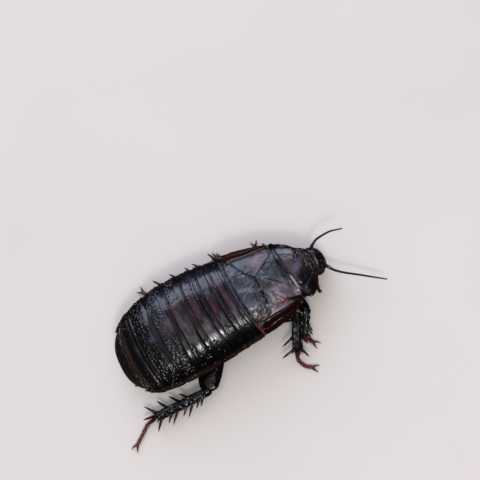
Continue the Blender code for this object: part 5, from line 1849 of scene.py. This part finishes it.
    def feeler(self, side: Side) -> None:
        """Makes a feeler: a thick root, then bead-like rings that get longer and thinner.

        Args:
            side: Which of the two.
        """
        yaw = side.value * self.feeler_yaw + (0.2 if side is Side.LEFT else 0.0)
        roots = [self.surface(yaw, self.feeler_pitch, out) for out in (-0.3, 0.1)]
        path = curve_through((*roots, *self.feeler_paths[side]), 520)
        reach = reach_along(path)
        share = reach / reach[-1]
        base = smooth_between(share, (0.0, 0.11, 0.17, 0.6, 1.0), (0.31, 0.29, 0.22, 0.17, 0.11))
        wave = np.abs(np.sin(np.pi * reach / smooth_between(share, (0.0, 1.0), (0.34, 0.3))))
        root_beads = 0.92 + 0.08 * np.abs(np.sin(np.pi * reach / self.feeler_root))
        beads = np.where(reach < self.feeler_root, root_beads, 0.84 + 0.16 * wave**0.6)
        size = base * beads * rounded(reach, 0.2, 0.1) + TINY
        limb = Limb(path, size, size, 24)
        skin = Skin(limb.flat, Seed.FEELERS)
        tint = painted(BROWN * 0.1, (
            (BLACK * 0.7, 0.6 * (1.0 - wave**0.5)),
            (BROWN * 0.8, ramp(share, 0.75, 1.0)),
            (PALE_BROWN, 0.9 * bell(reach, 1.35, 0.22) * (side is Side.RIGHT)),
        ))[:, None]
        tint = mix(tint, DARK_RED * 0.5, 0.3 + 0.3 * skin.hills(0, 0.3))
        form = limb.form(0.012 * skin.clouds(1, 0.12, 2), tint, 0.5)
        self.shop.show(f"antenna_{side.word}_rings", form, "feeler", f"antenna_{side.word}")

    def palp(self, side: Side) -> None:
        """Makes a palp: four short joints, the last one blunt and paler.

        Args:
            side: Which of the two.
        """
        path = curve_through(self.palp_paths[side], 160)
        reach = reach_along(path)
        share = reach / reach[-1]
        swell = 0.72 + 0.28 * np.abs(np.sin(share * np.pi * 4.0)) ** 0.7
        size = self.palp_radius * swell * rounded(reach, 0.15, 0.28) + TINY
        limb = Limb(path, size, size, 24)
        coats = ((DARK_RED, ramp(share, 0.2, 1.0)), (RED * 0.7, 0.6 * ramp(share, 0.9, 1.0)))
        relief = 0.01 * Grain(Seed.PALPS).layers(limb.flat, 0.15, 2)
        form = limb.form(relief, painted(BLACK * 1.4, coats)[:, None], 0.32)
        self.shop.show(f"palp_{side.word}_joints", form, "foot_cuticle", f"palp_{side.word}")


@dataclass(frozen=True)
class LegBuild:
    """Sizes of a pair of legs, as half widths at root, widest place and end.

    Attributes:
        coxa: Half widths of the hip joint.
        femur: Half widths of the thigh.
        tibia: Half widths of the shin.
        flat: How flat the thigh is.
        streaks: How strong the painted highlight streaks on the shin are.
    """

    coxa: tuple
    femur: tuple
    tibia: tuple
    flat: float
    streaks: float


class Pair(Enum):
    """The three pairs of legs with their sizes."""

    FORE = LegBuild((1.1, 0.85, 0.5), (0.6, 0.95, 0.65), (0.55, 0.62, 0.62), 0.8, 0.8)
    MID = LegBuild((1.35, 1.05, 0.6), (0.7, 1.15, 0.75), (0.68, 0.82, 0.78), 0.7, 0.8)
    HIND = LegBuild((1.45, 1.1, 0.65), (0.95, 2.15, 1.3), (0.7, 0.76, 0.73), 0.42, 0.45)


@dataclass
class Leg:
    """One leg: hip joint, thigh, spined shin and clawed foot.

    Attributes:
        shop: Where pieces are made.
        pair: Which pair the leg belongs to.
        side: Which side it is on.
        coxa: Root of the hip joint.
        trochanter: Where the thigh starts.
        knee: Where the shin starts.
        ankle: Where the foot starts.
        foot: Places along the foot.
        right_spines: Share along the shin and length of each spine on its right.
        left_spines: The same on its left.
        upper_spines: The same on its upper side.
        long_spur: Length of a long spur beside the foot, or 0 for none.
        widest: Share along a segment at which it is widest.
        coxa_flat: How flat the hip joint is.
        tibia_flat: How flat the shin is.
        lean: Angle between a spine and the shin.
        knee_overlap: How far the shin's round head reaches into the knee.
        spine_scale: How much longer the spines are than their stated lengths.
        far_scale: How long the spines of a left leg are, as a share of that.
        spine_radius: Half width of a large spine's root.
        foot_joints: Shares along the foot between which its joints lie.
        claw_length: Length of a claw.
        claw_turn: Angle at which a claw leaves the foot.
    """

    shop: Workshop
    pair: Pair
    side: Side
    coxa: tuple
    trochanter: tuple
    knee: tuple
    ankle: tuple
    foot: tuple
    right_spines: tuple = ()
    left_spines: tuple = ()
    upper_spines: tuple = ()
    long_spur: float = 0.0
    widest: float = 0.42
    coxa_flat: float = 0.62
    tibia_flat: float = 0.85
    lean: float = math.radians(50.0)
    knee_overlap: float = 0.55
    spine_scale: float = 1.12
    far_scale: float = 0.72
    spine_radius: float = 0.22
    foot_joints: tuple = (0.0, 0.34, 0.5, 0.64, 0.76, 1.0)
    claw_length: float = 1.2
    claw_turn: float = math.radians(52.0)

    @property
    def name(self) -> str:
        """The leg's name as the nodes carry it."""
        return f"{self.pair.name.lower()}_{self.side.word}"

    @property
    def seed(self) -> int:
        """A whole number of the leg's own."""
        return Seed.LEGS + 100 * list(Pair).index(self.pair) + 40 * self.side.value

    def build(self) -> None:
        """Makes the four pieces of the leg."""
        sizes = self.pair.value
        places = (self.coxa, self.trochanter, self.knee, self.ankle)
        coxa, trochanter, knee, ankle = (np.array(place, float) for place in places)
        self.segment("coxa", coxa, trochanter, sizes.coxa, self.coxa_flat, 0.0, -0.25)
        self.segment("femur", trochanter, knee, sizes.femur, sizes.flat, -0.15, 0.05)
        self.shin(knee, ankle, sizes.tibia)
        self.foot_piece(ankle)

    def segment(
        self, kind: str, start: Array, end: Array, sizes: tuple, flat: float, lead: float, overrun: float
    ) -> None:
        """Makes a hip joint or a thigh, pitted and with keels along it.

        Args:
            kind: Which segment.
            start: Where it starts.
            end: Where it ends.
            sizes: Half widths at root, widest place and end.
            flat: How flat it is.
            lead: How far its path starts past the joint before it.
            overrun: How far its path runs past the joint after it.
        """
        ahead = unit(end - start)
        start, end = start + ahead * lead, end + ahead * overrun
        share = end_dense(120, 0.7)
        reach = share * np.linalg.norm(end - start)
        full = 0.9 * sizes[1] if kind == "femur" else 0.5 * (sizes[1] + sizes[2])
        size = smooth_between(share, (0.0, self.widest, 0.72, 1.0), (sizes[0], sizes[1], full, sizes[2]))
        size = size * rounded(reach, 0.6 * sizes[0], 0.7 * sizes[2]) + TINY
        limb = Limb(start + (end - start) * share[:, None], size, size * flat, 64)
        skin = Skin(limb.flat, self.seed + len(kind))
        edge_on = np.abs(np.cos(limb.angle[None]))
        keel = 0.06 * (bell(edge_on, 1.0, 0.03) - bell(edge_on, 0.93, 0.03))
        pits = skin.pits(0, 0.42, 0.1, 0.35, 0.6)
        relief = keel - 0.06 * pits + 0.045 * skin.clouds(1, 0.5, 3, (0.5, 1.0))
        relief = relief * rounded(reach, 0.5, 0.5)[:, None]
        clouds = skin.clouds(2, 1.0, 4)
        # The black in the pits is painted shade.
        tint = painted(BLACK * 0.5, ((DARK_RED * 0.05, 0.25 + 0.3 * clouds), (BLACK * 0.6, 0.7 * pits)))
        form = limb.form(relief, tint, 0.13 + 0.04 * clouds)
        self.shop.show(f"{kind}_{self.name}_shell", form, "leg_cuticle", f"{kind}_{self.name}")

    def shin(self, knee: Array, ankle: Array, sizes: tuple) -> None:
        """Makes the shin, ridged along its length, with its rows of spines and a crown of spurs.

        Args:
            knee: Where it starts.
            ankle: Where it ends.
            sizes: Half widths at root, widest place and end.
        """
        ahead = unit(ankle - knee)
        start, end = knee - ahead * self.knee_overlap, ankle - ahead * 0.12
        share = end_dense(150, 0.6)
        reach = share * np.linalg.norm(end - start)
        size = smooth_between(share, (0.0, self.widest, 1.0), sizes) * rounded(reach, 0.5, 0.35) + TINY
        limb = Limb(start + (end - start) * share[:, None], size, size * self.tibia_flat, 56)
        skin = Skin(limb.flat, self.seed + 20)
        turn = limb.angle[None] * 3.0 + 0.4 + 0.3 * np.sin(reach[:, None] * 1.3)
        ridges = 0.07 * np.abs(np.cos(turn)) ** 3 + 0.16 * np.clip(skin.clouds(3, 0.5, 2), 0.0, 1.0)
        relief = ridges - 0.05 * skin.pits(0, 0.4, 0.1, 0.35, 0.6) + 0.04 * skin.clouds(1, 0.5, 3, (0.6, 1.0))
        relief = relief * rounded(reach, 0.4, 0.4)[:, None]
        clouds = skin.clouds(2, 0.9, 4)
        # Pale streaks on the shin are painted glints.
        gap, value = Grain(skin.seed + 6).spots(limb.flat * np.array([0.4, 1.0]), 0.5)
        streaks = bell(gap, 0.0, 0.1) * ramp(value, 0.6, 0.75)
        tint = painted(BLACK, (
            (SLATE * 0.1, 0.2 + 0.5 * clouds),
            (DARK_RED * 0.5, 0.4 * ramp(share, 0.95, 1.0)[:, None]),
            # Pale specks and streaks are painted glints.
            (PALE_HIGHLIGHT * np.array([0.9, 1.2, 1.3]), 0.7 * skin.pits(5, 0.55, 0.07, 0.55, 0.8)),
            (PALE_HIGHLIGHT * np.array([0.95, 1.2, 1.15]), self.pair.value.streaks * streaks),
        ))
        forms = [limb.form(relief, tint, 0.15 + 0.05 * clouds), *self.spines(start, end, sizes)]
        self.shop.show(f"tibia_{self.name}_shell", joined(forms), "leg_cuticle", f"tibia_{self.name}")

    def spines(self, start: Array, end: Array, sizes: tuple) -> list[Form]:
        """Makes the spines of a shin, leaning towards the foot, and small ones between them.

        Args:
            start: Where the shin starts.
            end: Where it ends.
            sizes: Half widths at root, widest place and end.

        Returns:
            The spines.
        """
        ahead = unit(end - start)
        outward = unit(np.array([ahead[1], -ahead[0], 0.0]))
        upward = np.cross(outward, ahead)
        upward = -upward if upward[2] < 0 else upward
        far = self.far_scale if self.side is Side.LEFT else 1.0
        chance = np.random.default_rng(self.seed)
        forms = []
        if self.long_spur:
            heading = unit(ahead + outward * 0.12 + upward * 0.1)
            forms.append(spine(end + outward * 0.25 + upward * 0.2, heading, self.long_spur, 0.24, 0.1))
        rows = ((self.right_spines, outward), (self.left_spines, -outward), (self.upper_spines, upward))
        for row, heading in rows:
            for place, length in row:
                radius = float(smooth_between(place, (0.0, self.widest, 1.0), sizes))
                lean = self.lean + math.radians(chance.uniform(-6.0, 6.0))
                tilt = heading * math.sin(lean) + ahead * math.cos(lean)
                tilt = tilt + upward * chance.uniform(-0.05, 0.18)
                root = start + (end - start) * place + heading * (radius * 0.86 - 0.12)
                length = far * (self.spine_scale * length + 0.4)
                forms.append(spine(root, unit(tilt), length, self.spine_radius))
        small = (outward * 0.7 + upward * 0.5, -outward * 0.7 + upward * 0.5, -upward)
        for place, heading in itertools.product(np.linspace(0.12, 0.92, 9), small):
            radius = float(smooth_between(place, (0.0, self.widest, 1.0), sizes))
            along = place + chance.uniform(-0.04, 0.04)
            root = start + (end - start) * along + heading * (radius * 0.8 - 0.05)
            forms.append(spine(root, unit(heading * 0.6 + ahead * 0.9), chance.uniform(0.25, 0.45), 0.045))
        for turn in np.linspace(0.0, 2.0 * np.pi, 6, endpoint=False):
            heading = outward * math.cos(turn) + upward * math.sin(turn) * 0.8
            root = end - ahead * 0.25 + heading * sizes[2] * 0.7
            forms.append(spine(root, unit(heading * 0.5 + ahead), chance.uniform(0.7, 1.0), 0.12))
        return forms

    def foot_piece(self, ankle: Array) -> None:
        """Makes the foot: five joints, a pair of curved claws and short bristles.

        Args:
            ankle: Where it starts.
        """
        path = curve_through((ankle, *self.foot), 200)
        path = np.concatenate([path[:1] - unit(path[1] - path[0]) * 0.2, path])
        reach = reach_along(path)
        share = reach / reach[-1]
        joints = np.array(self.foot_joints)
        number = np.clip(np.searchsorted(joints, share) - 1, 0, len(joints) - 2)
        local = (share - joints[number]) / (joints[number + 1] - joints[number])
        swell = 0.66 + 0.34 * np.sin(np.pi * np.clip(local, 0.0, 1.0) * 0.9 + 0.25) ** 0.8
        size = smooth_between(share, (0.0, 0.5, 1.0), (0.37, 0.31, 0.27)) * swell
        size = size * rounded(reach, 0.25, 0.25) + TINY
        limb = Limb(path, size, size * 0.92, 32)
        skin = Skin(limb.flat, self.seed + 30)
        clouds = skin.clouds(0, 0.5)
        tint = painted(DARK_RED * 0.6, (
            (RED, 0.55 + 0.45 * ramp(share, 0.35, 0.9)[:, None] + 0.3 * clouds),
            (BLACK * 1.5, (0.6 * bell(local, 0.0, 0.12) + 0.75 * ramp(share, 0.3, 0.12))[:, None]),
        ))
        form = limb.form(0.015 * skin.clouds(1, 0.15, 2), tint, 0.34 + 0.06 * clouds)
        ahead = unit((path[-1] - path[-20]) * (1.0 - UPWARD))
        beside = np.array([ahead[1], -ahead[0], 0.0])
        tip = path[-1] - ahead * 0.15
        forms = [form.above_ground()]
        forms += [self.claw(tip, ahead, turn) for turn in (self.claw_turn, -self.claw_turn)]
        for place, sign in itertools.product(np.linspace(0.12, 0.95, 12), (-1.0, 1.0)):
            heading = unit(beside * sign * 0.6 + ahead * 0.7 + UPWARD * 0.1)
            root = path[int(place * (len(path) - 1))] + beside * sign * 0.22
            forms.append(spine(root, heading, 0.38, 0.03, 0.05))
        self.shop.show(f"tarsus_{self.name}_joints", joined(forms), "foot_cuticle", f"tarsus_{self.name}")

    def claw(self, start: Array, ahead: Array, turn: float) -> Form:
        """Makes one claw, hooked and dark at its tip.

        Args:
            start: Where it starts.
            ahead: Direction of the foot.
            turn: Angle at which it leaves the foot.

        Returns:
            The claw.
        """
        share = np.linspace(0.0, 1.0, 18)[:, None]
        angle = turn * (1.0 - 0.5 * share)
        heading = ahead * np.cos(angle) + np.cross(UPWARD, ahead) * np.sin(angle)
        rise = 0.12 * np.sin(share * np.pi) - 0.16 * share**2
        path = start + heading * self.claw_length * share + UPWARD * rise
        share = share[:, 0]
        size = 0.19 * (1.0 - 0.9 * share**1.3) * rounded(share, 0.06, 0.02) + TINY
        tint = mix(RED * 0.6, BLACK, ramp(share, 0.4, 1.0))[:, None]
        return Limb(path, size, size * 1.2, 16).form(0.0, tint, 0.25).above_ground()


@dataclass(frozen=True)
class SoftLight:
    """A soft area light that looks at the animal.

    Attributes:
        name: Name of the light.
        place: Place in the row frame in metres.
        size: Width and height in metres.
        power: Power in watts.
        colour: Colour of the light.
    """

    name: str
    place: tuple
    size: tuple
    power: float
    colour: tuple


@dataclass
class Studio:
    """The pale floor, the soft lights and the camera.

    Attributes:
        camera_place: Place of the camera in body millimetres.
        right: Direction to the right of the picture.
        up: Direction to its top.
        back: Direction from the picture towards the camera.
        lens: Focal length in millimetres for a sensor 36 wide.
        floor_reach: Half width of the floor in metres.
        floor_colours: The two colours that the floor varies between.
        room_colour: Colour of the even light from all round.
        room_strength: Its strength.
        lights: The soft lights.
    """

    camera_place: tuple = (16.213, -47.407, 154.798)
    right: tuple = (0.86596, -0.45685, -0.20346)
    up: tuple = (0.49884, 0.81798, 0.28648)
    back: tuple = (0.03554, -0.34957, 0.93624)
    lens: float = 71.36
    floor_reach: float = 1.2
    floor_colours: tuple = ((0.66, 0.6, 0.57, 1.0), (0.7, 0.645, 0.61, 1.0))
    room_colour: tuple = (0.93, 0.96, 1.0, 1.0)
    room_strength: float = 0.5
    lights: tuple = (
        SoftLight("window", (0.05, 0.36, 0.187), (0.38, 0.26), 1.15, (0.76, 0.79, 1.0)),
        SoftLight("ceiling", (0.0, 0.17, 0.5), (0.5, 0.52), 0.4, (0.84, 0.86, 1.0)),
        SoftLight("lamp", (-0.03, -0.262, 0.31), (0.16, 0.13), 0.4, (1.0, 0.99, 0.97)),
        SoftLight("skylight", (-0.02, -0.118, 0.386), (0.22, 0.13), 0.17, (1.0, 0.985, 0.99)),
        SoftLight("glint", (-0.02, -0.25, 0.3), (0.04, 0.035), 0.22, (1.0, 0.99, 0.97)),
    )

    def build(self) -> None:
        """Makes the floor, the lights and the camera."""
        self.floor()
        self.room()
        for light in self.lights:
            self.soft_light(light)
        self.camera()

    def floor(self) -> None:
        """Makes a pale floor with a faint unevenness in its colour."""
        mesh = bpy.data.meshes.new("floor")
        corners = np.array([(-1, -1, 0), (1, -1, 0), (1, 1, 0), (-1, 1, 0)]) * self.floor_reach
        mesh.from_pydata(corners.tolist(), [], [(0, 1, 2, 3)])
        nodes = Nodes("floor_paint")
        place = nodes.add("ShaderNodeTexCoord", {}).outputs["Object"]
        inputs = {"Vector": place, "Scale": 40.0, "Detail": 4.0}
        cloud = nodes.add("ShaderNodeTexNoise", inputs).outputs["Fac"]
        inputs = {"Factor": cloud, "A": self.floor_colours[0], "B": self.floor_colours[1]}
        colour = nodes.add("ShaderNodeMix", inputs, data_type="RGBA").outputs["Result"]
        nodes.fill(nodes.shader, {"Base Color": colour, "Roughness": 0.8, "Specular IOR Level": 0.15})
        mesh.materials.append(nodes.material)
        floor = bpy.data.objects.new("floor", mesh)
        floor.visible_glossy = False
        bpy.context.scene.collection.objects.link(floor)

    def room(self) -> None:
        """Sets an even light from all round that the gloss doesn't mirror."""
        world = bpy.data.worlds.new("room")
        world.use_nodes = True
        background = world.node_tree.nodes["Background"]
        background.inputs["Color"].default_value = self.room_colour
        background.inputs["Strength"].default_value = self.room_strength
        world.cycles_visibility.glossy = False
        bpy.context.scene.world = world
        bpy.context.scene.view_settings.view_transform = "Standard"

    def soft_light(self, light: SoftLight) -> None:
        """Makes a soft light.

        Args:
            light: Its place, size, power and colour.
        """
        data = bpy.data.lights.new(light.name, "AREA")
        data.shape = "RECTANGLE"
        data.size, data.size_y = light.size
        data.energy = light.power
        data.color = light.colour
        place = np.array(light.place)
        back = unit(place)
        side = unit(np.cross(CROSSWAYS, back))
        self.place(bpy.data.objects.new(light.name, data), side, np.cross(back, side), back, place)

    def place(self, thing: bpy.types.Object, right: Array, up: Array, back: Array, middle: Array) -> None:
        """Puts a light or the camera in place in the scene.

        Args:
            thing: The object.
            right: Direction of its own x axis.
            up: Direction of its own y axis.
            back: Direction of its own z axis.
            middle: Its place in metres.
        """
        columns = np.stack([right, up, back, middle], -1)
        thing.matrix_world = Matrix(np.vstack([columns, [0.0, 0.0, 0.0, 1.0]]).tolist())
        bpy.context.scene.collection.objects.link(thing)

    def camera(self) -> None:
        """Makes the camera and makes it the scene's own."""
        data = bpy.data.cameras.new("camera")
        data.sensor_width = 36.0
        data.lens = self.lens
        data.clip_start = 0.005
        camera = bpy.data.objects.new("camera", data)
        middle = (np.array(self.camera_place) - BOX_MIDDLE) * MM
        self.place(camera, self.right, self.up, self.back, middle)
        bpy.context.scene.camera = camera


def legs(shop: Workshop) -> list[Leg]:
    """The six legs in the pose of the photo.

    Args:
        shop: Where pieces are made.

    Returns:
        The legs, not yet made.
    """
    return [
        Leg(
            shop, Pair.FORE, Side.RIGHT,
            (16.2, -2.3, 2.05), (13.6, -3.0, 1.5), (14.4, -7.2, 2.45), (11.9, -9.9, 1.1),
            ((12.0, -10.7, 0.45), (12.4, -11.3, 0.3), (12.8, -12.0, 0.27)),
            ((0.93, 1.1),), ((0.6, 1.0), (0.76, 1.0), (0.93, 1.1)), ((0.7, 0.9),),
        ),
        Leg(
            shop, Pair.FORE, Side.LEFT,
            (16.2, 0.6, 2.05), (13.6, 1.6, 1.5), (15.4, 4.7, 2.0), (13.1, 6.3, 1.2),
            ((12.5, 6.8, 0.45), (12.0, 7.4, 0.3), (12.1, 8.1, 0.27)),
            ((0.93, 1.0),), ((0.7, 1.0), (0.93, 1.1)),
        ),
        Leg(
            shop, Pair.MID, Side.RIGHT,
            (8.9, -1.75, 1.95), (5.9, -3.4, 1.45), (12.6, -7.1, 2.7), (9.7, -12.2, 1.7),
            ((9.1, -13.2, 0.6), (9.5, -14.4, 0.3), (10.7, -15.5, 0.27)),
            ((0.62, 2.0), (0.96, 1.85)), ((0.62, 1.2), (0.93, 1.4)), ((0.78, 0.8),),
        ),
        Leg(
            shop, Pair.MID, Side.LEFT,
            (8.9, 1.15, 1.95), (5.9, 2.4, 1.45), (9.8, 6.9, 2.0), (4.5, 8.7, 1.3),
            ((3.7, 8.9, 0.5), (2.7, 9.25, 0.3), (1.4, 10.0, 0.27)),
            ((0.78, 1.3), (0.86, 1.7), (0.95, 2.0)), ((0.6, 1.2), (0.93, 1.3)),
        ),
        Leg(
            shop, Pair.HIND, Side.RIGHT,
            (2.2, -1.9, 1.75), (-1.5, -3.0, 1.4), (-6.3, -10.6, 1.9), (-16.1, -9.9, 1.2),
            ((-17.7, -10.0, 0.5), (-19.8, -11.2, 0.3), (-21.4, -12.3, 0.27)),
            ((0.4, 1.25), (0.56, 1.75), (0.78, 1.8), (0.97, 2.15)),
            ((0.18, 1.0), (0.25, 1.0), (0.36, 1.9), (0.47, 1.3), (0.63, 2.0), (0.74, 1.3), (0.93, 1.8)),
            long_spur=2.4,
        ),
        Leg(
            shop, Pair.HIND, Side.LEFT,
            (2.0, 0.9, 1.75), (-3.0, 2.95, 1.4), (3.0, 7.95, 1.8), (-5.8, 9.5, 1.2),
            ((-7.0, 9.4, 0.5), (-8.3, 9.9, 0.3), (-9.0, 11.0, 0.27)),
            ((0.35, 2.0), (0.63, 2.1), (0.97, 2.1)), ((0.35, 1.3), (0.6, 1.3), (0.93, 1.4)),
        ),
    ]


def main() -> None:
    """Builds the cockroach part by part, then the studio."""
    logging.basicConfig(level=logging.INFO, format="%(message)s")
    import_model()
    shop = Workshop()
    shop.mix_finishes()
    for assembly in (Abdomen(shop), ThoraxPlates(shop), Underside(shop), Head(shop), *legs(shop), Studio()):
        assembly.build()
    bpy.context.view_layer.update()
    LOG.info("all pieces: %d triangles", shop.total)


if __name__ == "__main__":
    main()
